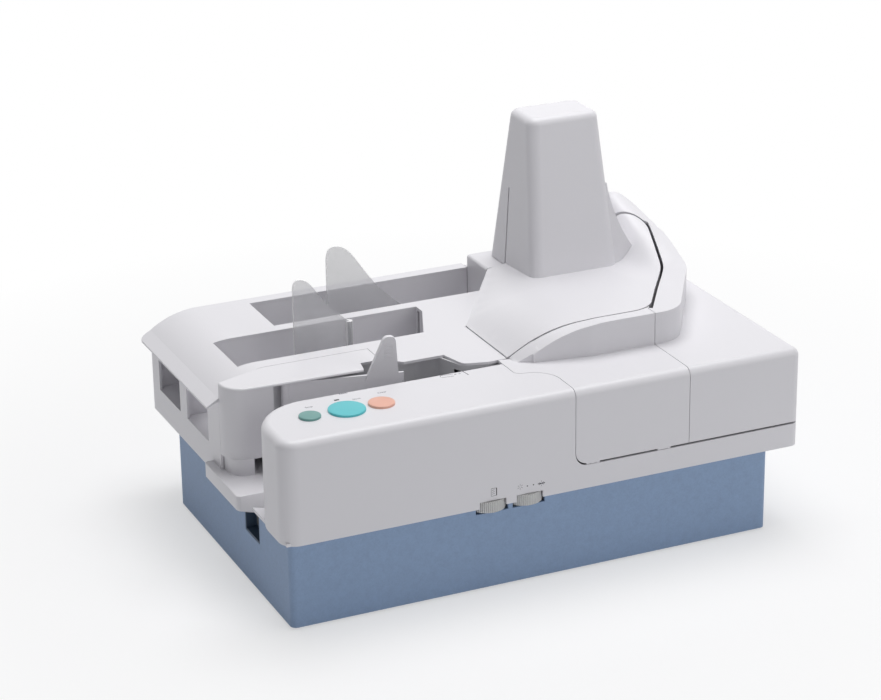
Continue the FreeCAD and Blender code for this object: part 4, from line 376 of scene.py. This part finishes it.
@dataclass(frozen=True)
class Clear:
    """Clear sheet plastic whose narrow edges carry a painted highlight that makes them brighter
    than its faces.

    The cover is how much the sheet hides, how much its smears add, and how much the painted
    highlight on its narrow edges adds.
    """

    name: str
    colour: Triple
    side: Triple
    edge_highlight: Triple = (0.95, 0.95, 0.96)
    roughness: float = 0.08
    wear: float = 0.06
    smear: float = 0.02
    cover: Triple = (0.36, 0.05, 0.55)
    cut_limit: float = 0.7
    refraction: float = 1.49

    def build(self) -> bpy.types.Material:
        """Returns the material."""
        shader = Surface(self.name)
        smears = shader.noise(self.smear, Detail.RICH)
        shader.feed("Roughness", smears * self.wear + self.roughness)
        facing = shader.node("ShaderNodeVectorMath", {"operation": "DOT_PRODUCT"},
                             {0: shader.facing, 1: self.side}, "Value")
        # Painted highlight: the narrow edges get a near-white colour and more opacity.
        edge = abs(facing).under(self.cut_limit)
        shader.feed("Base Color", shader.blend(edge, self.colour, self.edge_highlight))
        sheet, smeared, highlight_share = self.cover
        shader.feed("Alpha", smears * smeared + sheet + edge * highlight_share)
        shader.feed("IOR", self.refraction)
        return shader.material


@dataclass(frozen=True)
class Board:
    """A circuit board's green lacquer over its copper."""

    name: str
    colour: Triple
    pitch: float = 0.0025
    lane: float = 0.03
    tints: Pair = (1.2, 1.8)
    roughness: float = 0.35
    relief: float = 0.00002

    def build(self) -> bpy.types.Material:
        """Returns the material."""
        shader = Surface(self.name)
        field_tint, lane_tint = (tinted(self.colour, tint) for tint in self.tints)
        lanes = shader.node("ShaderNodeTexBrick", {"offset": 0.5},
                            {"Vector": shader.place, "Scale": 1 / self.pitch,
                             "Mortar Size": self.lane, "Color1": (*self.colour, 1.0),
                             "Color2": (*field_tint, 1.0), "Mortar": (*lane_tint, 1.0)})
        shader.feed("Base Color", lanes)
        shader.feed("Roughness", self.roughness)
        shader.bump(shader.noise(self.pitch, Detail.PLAIN), self.relief)
        return shader.material


SHELL = Plastic("shell_plastic", (0.74, 0.73, 0.76), 0.42, Sheen.SATIN, mottle=0.012)
INNER = Plastic("inner_plastic", (0.60, 0.60, 0.62), 0.5, Sheen.SATIN)
BLUE = Plastic("base_plastic", (0.245, 0.345, 0.515), 0.55, Sheen.COARSE, grain=0.0016,
               mottle=0.17, patch=0.006)
RECESS = Plastic("recess_plastic", (0.05, 0.08, 0.125), 0.5, Sheen.SATIN)
DARK = Plastic("dark_plastic", (0.028, 0.029, 0.032), 0.45, Sheen.SATIN)
TEAL = Plastic("teal_key", (0.145, 0.33, 0.31), 0.3, Sheen.POLISHED)
TURQUOISE = Plastic("turquoise_key", (0.085, 0.53, 0.58), 0.3, Sheen.POLISHED)
SALMON = Plastic("salmon_key", (0.80, 0.43, 0.33), 0.3, Sheen.POLISHED)
SIGN_INK = Plastic("mark_ink", (0.05, 0.05, 0.06), 0.6, Sheen.POLISHED)
WORD_INK = Plastic("grey_ink", (0.17, 0.17, 0.20), 0.6, Sheen.POLISHED)
SHEET_COLOUR = (0.68, 0.68, 0.70)
WHEEL_COLOUR = (0.70, 0.70, 0.69)
BLACK_RUBBER = Plastic("black_rubber", (0.022, 0.022, 0.023), 0.75, Sheen.MATT, mottle=0.12)
GREY_RUBBER = Plastic("grey_rubber", (0.17, 0.17, 0.18), 0.7, Sheen.MATT, mottle=0.08)
STEEL = Metal("zinc_steel", (0.60, 0.61, 0.63), 0.35, (1.0, 12.0, 1.0))
ALUMINIUM = Metal("aluminium", (0.74, 0.75, 0.77), 0.3, (1.0, 1.0, 14.0))
BRASS = Metal("sintered_brass", (0.62, 0.46, 0.22), 0.42)
BOARD = Board("green_board", (0.02, 0.10, 0.045))

Finish = Union[Plastic, Metal, Ribbed, Clear, Board]

NODE_FINISHES: dict[Finish, tuple[str, ...]] = {
    BLUE: ("base_tub",),
    BLACK_RUBBER: ("rubber_feet", "drive_belt"),
    GREY_RUBBER: ("drive_roller_1", "drive_roller_2", "drive_roller_3", "drive_roller_4",
                  "pinch_roller_1", "pinch_roller_2", "pinch_roller_3", "pinch_roller_4",
                  "feed_roller", "retard_roller"),
    RECESS: ("switch_recess",),
    DARK: ("power_rocker", "power_inlet", "data_connector", "fan_frame",
           "fan_rotor", "status_lamp", "rear_scan_unit", "front_scan_unit", "diverter_gate"),
    STEEL: ("power_supply", "chassis_plate", "pivot_pins", "roller_axles", "drive_motor",
            "feed_motor", "gate_solenoid", "hinge_pins"),
    BRASS: ("board_standoffs", "shaft_bushes"),
    ALUMINIUM: ("magnetic_head", "motor_pulley"),
    BOARD: ("main_board", "key_board"),
    SHELL: ("lower_housing", "hopper_floor", "front_panel", "hopper_cover", "hopper_pusher",
            "stacker_cover", "stacker_body", "upper_cover", "front_cover", "right_cover",
            "rear_cover"),
    INNER: ("hopper_wall", "track_bed", "inner_track_wall", "front_track_wall", "rear_track_wall"),
    TEAL: ("stop_button",),
    TURQUOISE: ("start_button",),
    SALMON: ("clear_button",),
}


class Palette:
    """Every finish, made once when a piece first asks for it."""

    def __init__(self) -> None:
        """Starts with no material made."""
        self.made: dict[str, bpy.types.Material] = {}

    def paint(self, piece: bpy.types.Object, finish: Finish) -> None:
        """Gives a piece a finish.

        Args:
            piece: The piece.
            finish: Its finish.
        """
        if finish.name not in self.made:
            self.made[finish.name] = finish.build()
        if not piece.material_slots:
            piece.data.materials.append(None)
        for slot in piece.material_slots:
            slot.material = self.made[finish.name]


# Modelling by hand's operators


class Bench:
    """Operators used on one piece at a time."""

    @staticmethod
    def clear() -> None:
        """Deselects everything."""
        for item in bpy.context.selected_objects:
            item.select_set(False)

    @staticmethod
    def hold(piece: bpy.types.Object) -> None:
        """Makes a piece the only one selected."""
        Bench.clear()
        piece.select_set(True)
        bpy.context.view_layer.objects.active = piece

    @staticmethod
    def settle(piece: bpy.types.Object) -> bpy.types.Object:
        """Puts a piece's place, turn and scale into its mesh.

        Args:
            piece: The piece.

        Returns:
            The same piece.
        """
        Bench.hold(piece)
        bpy.ops.object.transform_apply(location=True, rotation=True, scale=True)
        return piece

    @staticmethod
    def rod(name: str, centre: Sequence[float], radius: float, length: float,
            sides: int) -> bpy.types.Object:
        """Starts an upright round piece.

        Args:
            name: The piece's name.
            centre: The middle of the piece.
            radius: Its radius.
            length: Its length.
            sides: How many sides it has.

        Returns:
            The piece.
        """
        Bench.clear()
        bpy.ops.mesh.primitive_cylinder_add(vertices=sides, radius=radius, depth=length,
                                            location=centre)
        piece = bpy.context.active_object
        piece.name = name
        return Bench.settle(piece)

    @staticmethod
    def slab(name: str, low: Sequence[float], high: Sequence[float]) -> bpy.types.Object:
        """Starts a square-cornered piece.

        Args:
            name: The piece's name.
            low: Its lowest corner.
            high: Its highest corner.

        Returns:
            The piece.
        """
        Bench.clear()
        middle = [(a + b) / 2 for a, b in zip(low, high)]
        size = [b - a for a, b in zip(low, high)]
        bpy.ops.mesh.primitive_cube_add(size=1, location=middle, scale=size)
        piece = bpy.context.active_object
        piece.name = name
        return Bench.settle(piece)

    @staticmethod
    def enter(piece: bpy.types.Object, kind: str) -> bmesh.types.BMesh:
        """Goes into edit mode with nothing selected.

        Args:
            piece: The piece.
            kind: What is selected there, FACE or EDGE.

        Returns:
            The mesh in edit mode.
        """
        Bench.hold(piece)
        bpy.ops.object.mode_set(mode="EDIT")
        bpy.ops.mesh.select_mode(type=kind)
        bpy.ops.mesh.select_all(action="DESELECT")
        return bmesh.from_edit_mesh(piece.data)

    @staticmethod
    def pick(piece: bpy.types.Object, wanted: Callable[[bmesh.types.BMFace], bool]) -> None:
        """Goes into edit mode with only some faces selected.

        Args:
            piece: The piece.
            wanted: Says whether a face is selected.
        """
        mesh = Bench.enter(piece, "FACE")
        for face in filter(wanted, mesh.faces):
            face.select_set(True)
        mesh.select_flush_mode()
        bmesh.update_edit_mesh(piece.data)

    @staticmethod
    def leave() -> None:
        """Leaves edit mode."""
        bpy.ops.object.mode_set(mode="OBJECT")

    @staticmethod
    def round_upright(piece: bpy.types.Object, wanted: Callable[[Vector], bool], radius: float,
                      segments: int) -> None:
        """Rounds some of a piece's upright edges.

        Args:
            piece: The piece.
            wanted: Says, from one end of an upright edge, whether it is rounded.
            radius: The radius.
            segments: How many steps it has.
        """
        mesh = Bench.enter(piece, "EDGE")
        for edge in mesh.edges:
            first, second = (vert.co for vert in edge.verts)
            edge.select_set(abs(first.z - second.z) > MM and wanted(first))
        bmesh.update_edit_mesh(piece.data)
        bpy.ops.mesh.bevel(offset=radius, segments=segments)
        Bench.leave()

    @staticmethod
    def grid(name: str, cuts: int,
             place: Callable[[float, float, float], Vector]) -> bpy.types.Object:
        """Divides a block into a grid and moves each of its points.

        Args:
            name: The piece's name.
            cuts: How many cuts each edge gets.
            place: Gives a point's place from its shares of the block's three sides.

        Returns:
            The piece.
        """
        piece = Bench.slab(name, (0.0, 0.0, 0.0), (1.0, 1.0, 1.0))
        Bench.pick(piece, lambda face: True)
        bpy.ops.mesh.subdivide(number_cuts=cuts)
        Bench.leave()
        for vert in piece.data.vertices:
            vert.co = place(*vert.co)
        return piece

    @staticmethod
    def soften(piece: bpy.types.Object, width: float, segments: int, angle: float) -> None:
        """Rounds the sharp edges of a piece.

        Args:
            piece: The piece.
            width: The width of the rounding.
            segments: How many steps it has.
            angle: The least angle of an edge that is rounded, in degrees.
        """
        Bench.hold(piece)
        bevel = piece.modifiers.new("rounding", "BEVEL")
        bevel.width = width
        bevel.segments = segments
        bevel.limit_method = "ANGLE"
        bevel.angle_limit = math.radians(angle)
        bevel.use_clamp_overlap = True
        bpy.ops.object.modifier_apply(modifier=bevel.name)
        bpy.ops.object.shade_smooth_by_angle(angle=math.radians(angle))

    @staticmethod
    def join(name: str, pieces: Sequence[bpy.types.Object]) -> bpy.types.Object:
        """Joins pieces into one.

        Args:
            name: The name of the whole.
            pieces: The pieces.

        Returns:
            The whole.
        """
        Bench.clear()
        for piece in pieces:
            piece.select_set(True)
        bpy.context.view_layer.objects.active = pieces[0]
        if len(pieces) > 1:
            bpy.ops.object.join()
        pieces[0].name = name
        return pieces[0]


@dataclass(frozen=True)
class Lamp:
    """A soft square lamp that points at the object."""

    name: str
    place: Triple
    size: float
    power: float
    aim: Triple = (0.0, 0.0, 0.1)

    def hang(self) -> None:
        """Adds the lamp."""
        light = bpy.data.lights.new(self.name, "AREA")
        light.size = self.size
        light.energy = self.power
        holder = bpy.data.objects.new(self.name, light)
        holder.location = self.place
        direction = Vector(self.aim) - Vector(self.place)
        holder.rotation_euler = direction.to_track_quat("-Z", "Y").to_euler()
        bpy.context.scene.collection.objects.link(holder)


@dataclass
class Studio:
    """The floor, the light and the camera."""

    floor_size: float = 14.0
    floor_colour: Triple = (0.90, 0.90, 0.91)
    floor_roughness: float = 0.9
    floor_glow: float = 0.52
    shadow_reach: Pair = (0.36, 0.85)
    eye: Triple = (-1.01182, -2.22182, 1.13358)
    turn: Triple = (68.38840, 0.78403, -24.25502)
    lens: float = 110.46
    sensor: float = 36.0
    sight: float = 100.0
    sky: float = 0.24
    sky_colour: Triple = (0.97, 0.98, 1.0)
    lamps: tuple[Lamp, ...] = (Lamp("top_lamp", (0.3, 0.35, 2.4), 1.7, 47.0),
                               Lamp("front_lamp", (1.4, -2.5, 1.3), 1.6, 15.0))

    def world(self) -> None:
        """Lights everything evenly, and shows white behind the object."""
        world = bpy.data.worlds.new("studio")
        bpy.context.scene.world = world
        world.use_nodes = True
        shader = Shader(world.node_tree)
        plain = shader.tree.nodes["Background"]
        plain.inputs["Color"].default_value = (*self.sky_colour, 1.0)
        plain.inputs["Strength"].default_value = self.sky
        white = shader.node("ShaderNodeBackground", {}, {"Color": WHITE})
        shader.show("World Output", shader.seen(), Field(shader, plain.outputs[0]), white)

    def floor(self) -> None:
        """Lays a plain pale floor that takes a soft shadow and glows more away from the object."""
        Bench.clear()
        bpy.ops.mesh.primitive_plane_add(size=self.floor_size)
        ground = bpy.context.active_object
        ground.name = "studio_floor"
        shader = Surface("studio_floor")
        shader.feed("Base Color", (*self.floor_colour, 1.0))
        shader.feed("Roughness", self.floor_roughness)
        glow = shader.node("ShaderNodeEmission", {}, {"Strength": 1.0})
        away = shader.node("ShaderNodeVectorMath", {"operation": "LENGTH"}, {0: shader.place},
                           "Value")
        share = shader.node("ShaderNodeMapRange", {},
                            {0: away, 1: self.shadow_reach[0], 2: self.shadow_reach[1],
                             3: self.floor_glow, 4: 1.0})
        plain = Field(shader, shader.surface.outputs[0])
        shader.show("Material Output", shader.seen() * share, plain, glow)
        ground.data.materials.append(shader.material)

    def camera(self) -> None:
        """Sets the camera at the photograph's angle."""
        lens = bpy.data.cameras.new("camera")
        lens.lens = self.lens
        lens.sensor_width = self.sensor
        lens.clip_end = self.sight
        camera = bpy.data.objects.new("camera", lens)
        camera.location = self.eye
        camera.rotation_euler = [math.radians(part) for part in self.turn]
        bpy.context.scene.collection.objects.link(camera)
        bpy.context.scene.camera = camera

    def build(self) -> None:
        """Sets up the whole studio."""
        self.camera()
        self.floor()
        self.world()
        for lamp in self.lamps:
            lamp.hang()
        bpy.context.scene.view_settings.view_transform = "Standard"


# The object's own pieces. Their places are in millimetres from the front panel's low left corner,
# and from the desk upwards, unless a class says otherwise.


@functools.cache
def panel_corner() -> Vector:
    """Returns the front panel's low corner."""
    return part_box("front_panel")[0]


def spot(across: float, deep: float, level: float) -> Vector:
    """Returns a place given in millimetres.

    Args:
        across: Distance to the right of the panel's left end.
        deep: Distance to the rear of the panel's front.
        level: Height above the desk.

    Returns:
        The place in metres.
    """
    corner = panel_corner()
    return Vector((corner.x + across * MM, corner.y + deep * MM, level * MM))


def between(start: float, end: float, share: float) -> float:
    """Returns the number that is a share of the way between two numbers."""
    return start + (end - start) * share


@dataclass
class Key:
    """A round key with a crowned top, in place of its plain solid. Its sizes are in metres."""

    node: str
    body: str
    slot: str
    finish: Finish
    crown: float = 0.0009
    crown_share: float = 0.8
    steps: int = 5
    sides: int = 96
    edge: float = 0.0007
    relief: float = 0.0004

    def build(self, palette: Palette) -> list[bpy.types.Object]:
        """Models the key.

        Args:
            palette: The finishes.

        Returns:
            The key.
        """
        low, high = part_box(self.node)
        radius = (high.x - low.x) / 2 - self.relief
        key = Bench.rod(f"{self.node}_cap", (low + high) / 2, radius, high.z - low.z, self.sides)
        Bench.pick(key, lambda face: face.normal.z > UPWARD)
        for step in range(self.steps):
            bpy.ops.mesh.inset(thickness=radius * self.crown_share / self.steps, depth=0.0)
            rise = self.crown / self.steps * (1 - step / self.steps)
            bpy.ops.transform.translate(value=(0.0, 0.0, rise))
        Bench.leave()
        Bench.soften(key, self.edge, 3, 50)
        palette.paint(key, self.finish)
        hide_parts(self.node)
        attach(key, self.body)
        return [key]


@dataclass(frozen=True)
class Word:
    """A short word printed on the panel's top."""

    text: str
    place: Pair
    height: float = 3.1


@dataclass(frozen=True)
class Stroke:
    """A bent line printed on the panel, by its corners, across and up or across and deep."""

    corners: tuple[Pair, ...]
    width: float
    on_front: bool = True


def star(centre: Pair, radius: float = 2.9, hollow: float = 0.35, rays: int = 6,
         width: float = 0.28) -> tuple[Stroke, ...]:
    """Returns a star of thin rays on the panel's front.

    Args:
        centre: Its middle.
        radius: Its radius.
        hollow: The share of the radius that is empty in its middle.
        rays: How many rays it has.
        width: The width of a ray.

    Returns:
        Its rays.
    """
    made = []
    for turn in range(rays):
        angle = math.tau * (turn + 0.5) / rays
        ends = tuple((centre[0] + reach * math.cos(angle), centre[1] + reach * math.sin(angle))
                     for reach in (radius * hollow, radius))
        made.append(Stroke(ends, width))
    return tuple(made)


WORDS = (Word("Stop", (54.6, 70.6)), Word("Start", (101.0, 69.4)), Word("Clear", (128.0, 73.6)),
         Word("Ready", (95.0, 87.0), 2.7), Word("Jam", (157.4, 90.8), 2.0))
SHEET_SIGN = (
    Stroke(((203.0, 95.4), (208.6, 95.4), (208.6, 103.0), (203.0, 103.0), (203.0, 95.4)), 0.3),
    *(Stroke(((203.9, level), (206.4, level + 0.4)), 0.35) for level in (97.3, 99.2, 101.1)),
    Stroke(((208.4, 95.6), (208.4, 102.8)), 0.9))
DIAL_SIGN = (
    *star((232.4, 99.1)),
    *(Stroke(((place - 0.9, 98.5), (place + 0.3, 98.5)), 1.1) for place in (240.1, 246.4)),
    *star((254.2, 98.3)),
    Stroke(((250.6, 98.3), (257.9, 98.3)), 0.9))
HOPPER_SIGN = (
    Stroke(((203.6, 81.4), (192.8, 83.0), (191.4, 85.4), (193.4, 88.4), (204.4, 86.2)), 0.45,
           False),
    *(Stroke(((place - 1.8, 84.4), (place + 0.6, 84.8)), 0.7, False) for place in (207.2, 211.4)),
    Stroke(((216.0, 89.6), (217.2, 78.4)), 0.8, False))


@dataclass
class Print:
    """The words and signs printed on the front panel."""

    top: float = 184.5
    thickness: float = 0.06
    letter_scale: float = 1.3
    edge_share: float = 0.4
    words: tuple[Word, ...] = WORDS
    signs: tuple[Stroke, ...] = SHEET_SIGN + DIAL_SIGN + HOPPER_SIGN

    def letters(self, word: Word) -> bpy.types.Object:
        """Returns a word as a thin mesh on the panel's top."""
        Bench.clear()
        bpy.ops.object.text_add(location=spot(*word.place, self.top))
        text = bpy.context.active_object.data
        text.body = word.text
        text.size = word.height * self.letter_scale * MM
        text.align_x = "CENTER"
        text.extrude = self.thickness * MM
        bpy.ops.object.convert(target="MESH")
        return Bench.settle(bpy.context.active_object)

    def line(self, start: Pair, end: Pair, stroke: Stroke) -> bpy.types.Object:
        """Prints one straight stretch of a stroke.

        Args:
            start: One end.
            end: The other end.
            stroke: The stroke that it belongs to.

        Returns:
            The stretch.
        """
        if stroke.on_front:
            near, far = (spot(x, 0.0, z) for x, z in (start, end))
        else:
            near, far = (spot(x, y, self.top) for x, y in (start, end))
        along = far - near
        across, thick = stroke.width * MM, 2 * self.thickness * MM
        sides = (thick, across) if stroke.on_front else (across, thick)
        Bench.clear()
        bpy.ops.mesh.primitive_cube_add(size=1, scale=(along.length, *sides))
        piece = Bench.settle(bpy.context.active_object)
        piece.location = (near + far) / 2
        if stroke.on_front:
            piece.rotation_euler = (0.0, -math.atan2(along.z, along.x), 0.0)
        else:
            piece.rotation_euler = (0.0, 0.0, math.atan2(along.y, along.x))
        return Bench.settle(piece)

    def finish(self, name: str, strokes: list[bpy.types.Object], palette: Palette,
               ink: Finish) -> bpy.types.Object:
        """Joins what is printed into one piece.

        Args:
            name: The piece's name.
            strokes: What is printed.
            palette: The finishes.
            ink: The ink.

        Returns:
            The piece.
        """
        piece = Bench.join(name, strokes)
        Bench.soften(piece, self.thickness * self.edge_share * MM, 1, 50)
        palette.paint(piece, ink)
        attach(piece, "housing")
        return piece

    def build(self, palette: Palette) -> list[bpy.types.Object]:
        """Prints everything.

        Args:
            palette: The finishes.

        Returns:
            The words and the signs.
        """
        words = [self.letters(word) for word in self.words]
        printed = [self.finish("key_words", words, palette, WORD_INK)]
        lines = [self.line(start, end, stroke) for stroke in self.signs
                 for start, end in zip(stroke.corners, stroke.corners[1:])]
        printed.append(self.finish("panel_signs", lines, palette, SIGN_INK))
        return printed


@dataclass
class Shelf:
    """The rounded shelf at the hopper's open end."""

    low: Triple = (-9.1, 97.6, 82.2)
    high: Triple = (27.6, 186.9, 97.0)
    foot: float = 72.0
    corner: float = 4.0
    edge: float = 0.9

    def build(self, palette: Palette) -> list[bpy.types.Object]:
        """Models the shelf.

        Args:
            palette: The finishes.

        Returns:
            The shelf.
        """
        low, high = spot(*self.low), spot(*self.high)
        shelf = Bench.slab("hopper_shelf", low, high)
        foot = spot(0.0, self.foot, 0.0).y
        for vert in shelf.data.vertices:
            place = vert.co
            if place.y < low.y + MM and place.z < low.z + MM and place.x > low.x + MM:
                place.y = foot
        Bench.round_upright(shelf, lambda end: end.x < low.x + MM, self.corner * MM, 8)
        Bench.soften(shelf, self.edge * MM, 3, 40)
        palette.paint(shelf, SHELL)
        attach(shelf, "housing")
        return [shelf]


@dataclass
class PostFoot:
    """The foot of the post at the hopper's open end, in millimetres from the post's low corner."""

    back: float = 3.0
    size: Pair = (24.0, 44.0)
    floor: float = 96.5
    top: float = 113.2
    corner: float = 16.0
    edge: float = 0.5

    def build(self, palette: Palette) -> list[bpy.types.Object]:
        """Models the foot.

        Args:
            palette: The finishes.

        Returns:
            The foot.
        """
        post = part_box("hopper_cover")[0]
        start = (post.x + self.back * MM, post.y + self.back * MM, self.floor * MM)
        end = (post.x + self.size[0] * MM, post.y + self.size[1] * MM, self.top * MM)
        foot = Bench.slab("post_foot", start, end)
        Bench.round_upright(foot, lambda edge: edge.x < start[0] + MM and edge.y < start[1] + MM,
                            self.corner * MM, 12)
        Bench.soften(foot, self.edge * MM, 2, 40)
        palette.paint(foot, SHELL)
        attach(foot, "housing")
        return [foot]


@dataclass
class RimTip:
    """The low start of the rim round the hood."""

    inner: tuple[Pair, Pair] = ((268.2, 98.0), (290.9, 93.5))
    outer: tuple[Pair, Pair] = ((269.5, 87.0), (290.9, 78.1))
    floor: float = 184.3
    sink: float = 0.25
    rise: float = 32.0
    reach: float = 83.0
    start: float = 267.0
    skew: float = 0.4
    row: float = 99.0
    power: float = 2.2
    cuts: int = 11
    edge: float = 0.4

    def level(self, across: float, deep: float) -> float:
        """Returns the height of the rim over a place.

        Args:
            across: Distance to the right.
            deep: Distance to the rear.

        Returns:
            The height.
        """
        left = self.start + self.skew * (self.row - deep)
        share = min(1.0, max(0.0, (across - left) / self.reach))
        return self.floor + self.sink + self.rise * (1 - (1 - share) ** self.power)

    def place(self, along: float, over: float, up: float) -> Vector:
        """Returns where a corner of the tip's grid goes.

        Args:
            along: Its share of the way to the right.
            over: Its share of the way from the outer wall to the inner wall.
            up: Its share of the height.

        Returns:
            The place.
        """
        inner, outer = ([between(a, b, along) for a, b in zip(*wall)]
                        for wall in (self.inner, self.outer))
        across, deep = (between(a, b, over) for a, b in zip(outer, inner))
        return spot(across, deep, between(self.floor, self.level(across, deep), up))

    def build(self, palette: Palette) -> list[bpy.types.Object]:
        """Models the tip.

        Args:
            palette: The finishes.

        Returns:
            The tip.
        """
        tip = Bench.grid("rim_tip", self.cuts, self.place)
        Bench.soften(tip, self.edge * MM, 2, 50)
        palette.paint(tip, SHELL)
        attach(tip, "door")
        return [tip]


@dataclass
class DoorCorner:
    """The panel's rounded corner under the front cover."""

    sill: float = 107.6
    centre: Pair = (301.9, 121.6)
    radii: Pair = (12.6, 14.0)
    wall: float = 2.5
    cuts: int = 11

    def place(self, along: float, over: float, up: float) -> Vector:
        """Returns where a point of the corner's grid goes.

        Args:
            along: Its share of the quarter turn.
            over: Its share of the wall's thickness.
            up: Its share of the height.

        Returns:
            The place.
        """
        angle = along * math.pi / 2
        across = self.centre[0] - self.radii[0] * math.cos(angle)
        level = self.centre[1] - self.radii[1] * math.sin(angle)
        return spot(across, over * self.wall, between(self.sill, level, up))

    def build(self, palette: Palette) -> list[bpy.types.Object]:
        """Models the corner.

        Args:
            palette: The finishes.

        Returns:
            The corner.
        """
        fillet = Bench.grid("door_corner", self.cuts, self.place)
        Bench.pick(fillet, lambda face: True)
        bpy.ops.mesh.remove_doubles(threshold=MERGED)
        Bench.leave()
        bpy.ops.object.shade_smooth_by_angle(angle=math.radians(40))
        palette.paint(fillet, SHELL)
        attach(fillet, "housing")
        return [fillet]


@dataclass
class Housing:
    """The carried-over nodes, dressed in their finishes."""

    finishes: dict[Finish, tuple[str, ...]] = field(default_factory=lambda: NODE_FINISHES)
    paddles: tuple[str, ...] = ("near_paddle", "far_paddle")
    wheels: tuple[str, ...] = ("left_thumbwheel", "right_thumbwheel")

    @staticmethod
    def paddle_finish(name: str, paddle: bpy.types.Object) -> Clear:
        """Returns the clear finish that knows which way a paddle's broad face looks."""
        widest = max(paddle.data.polygons, key=lambda face: face.area)
        return Clear(f"{name}_sheet", SHEET_COLOUR, tuple(widest.normal))

    @staticmethod
    def wheel_finish(name: str) -> Ribbed:
        """Returns the ribbed finish round a thumbwheel's axis."""
        low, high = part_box(name)
        middle = (low + high) / 2
        return Ribbed(f"{name}_plastic", WHEEL_COLOUR, (middle.x, middle.y))

    def build(self, palette: Palette, nodes: dict[str, bpy.types.Object]) -> None:
        """Paints every node.

        Args:
            palette: The finishes.
            nodes: The frame's nodes by name.
        """
        for finish, names in self.finishes.items():
            for name in names:
                palette.paint(nodes[name], finish)
        for name in self.paddles:
            palette.paint(nodes[name], self.paddle_finish(name, nodes[name]))
        for name in self.wheels:
            palette.paint(nodes[name], self.wheel_finish(name))


def main() -> None:
    """Builds the studio, the nodes' finishes and the own pieces."""
    logging.basicConfig(level=logging.INFO, format="%(name)s: %(message)s")
    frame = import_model()
    Studio().build()
    palette = Palette()
    Housing().build(palette, frame["nodes"])
    LOG.info("dressed %d nodes", len(frame["nodes"]))
    for part in (Key("stop_button", "stop_key", "teal", TEAL),
                 Key("start_button", "start_key", "turquoise", TURQUOISE),
                 Key("clear_button", "clear_key", "salmon", SALMON),
                 Shelf(), PostFoot(), RimTip(), DoorCorner(), Print()):
        for piece in part.build(palette):
            LOG.info("built %s", piece.name)


if __name__ == "__main__":
    main()
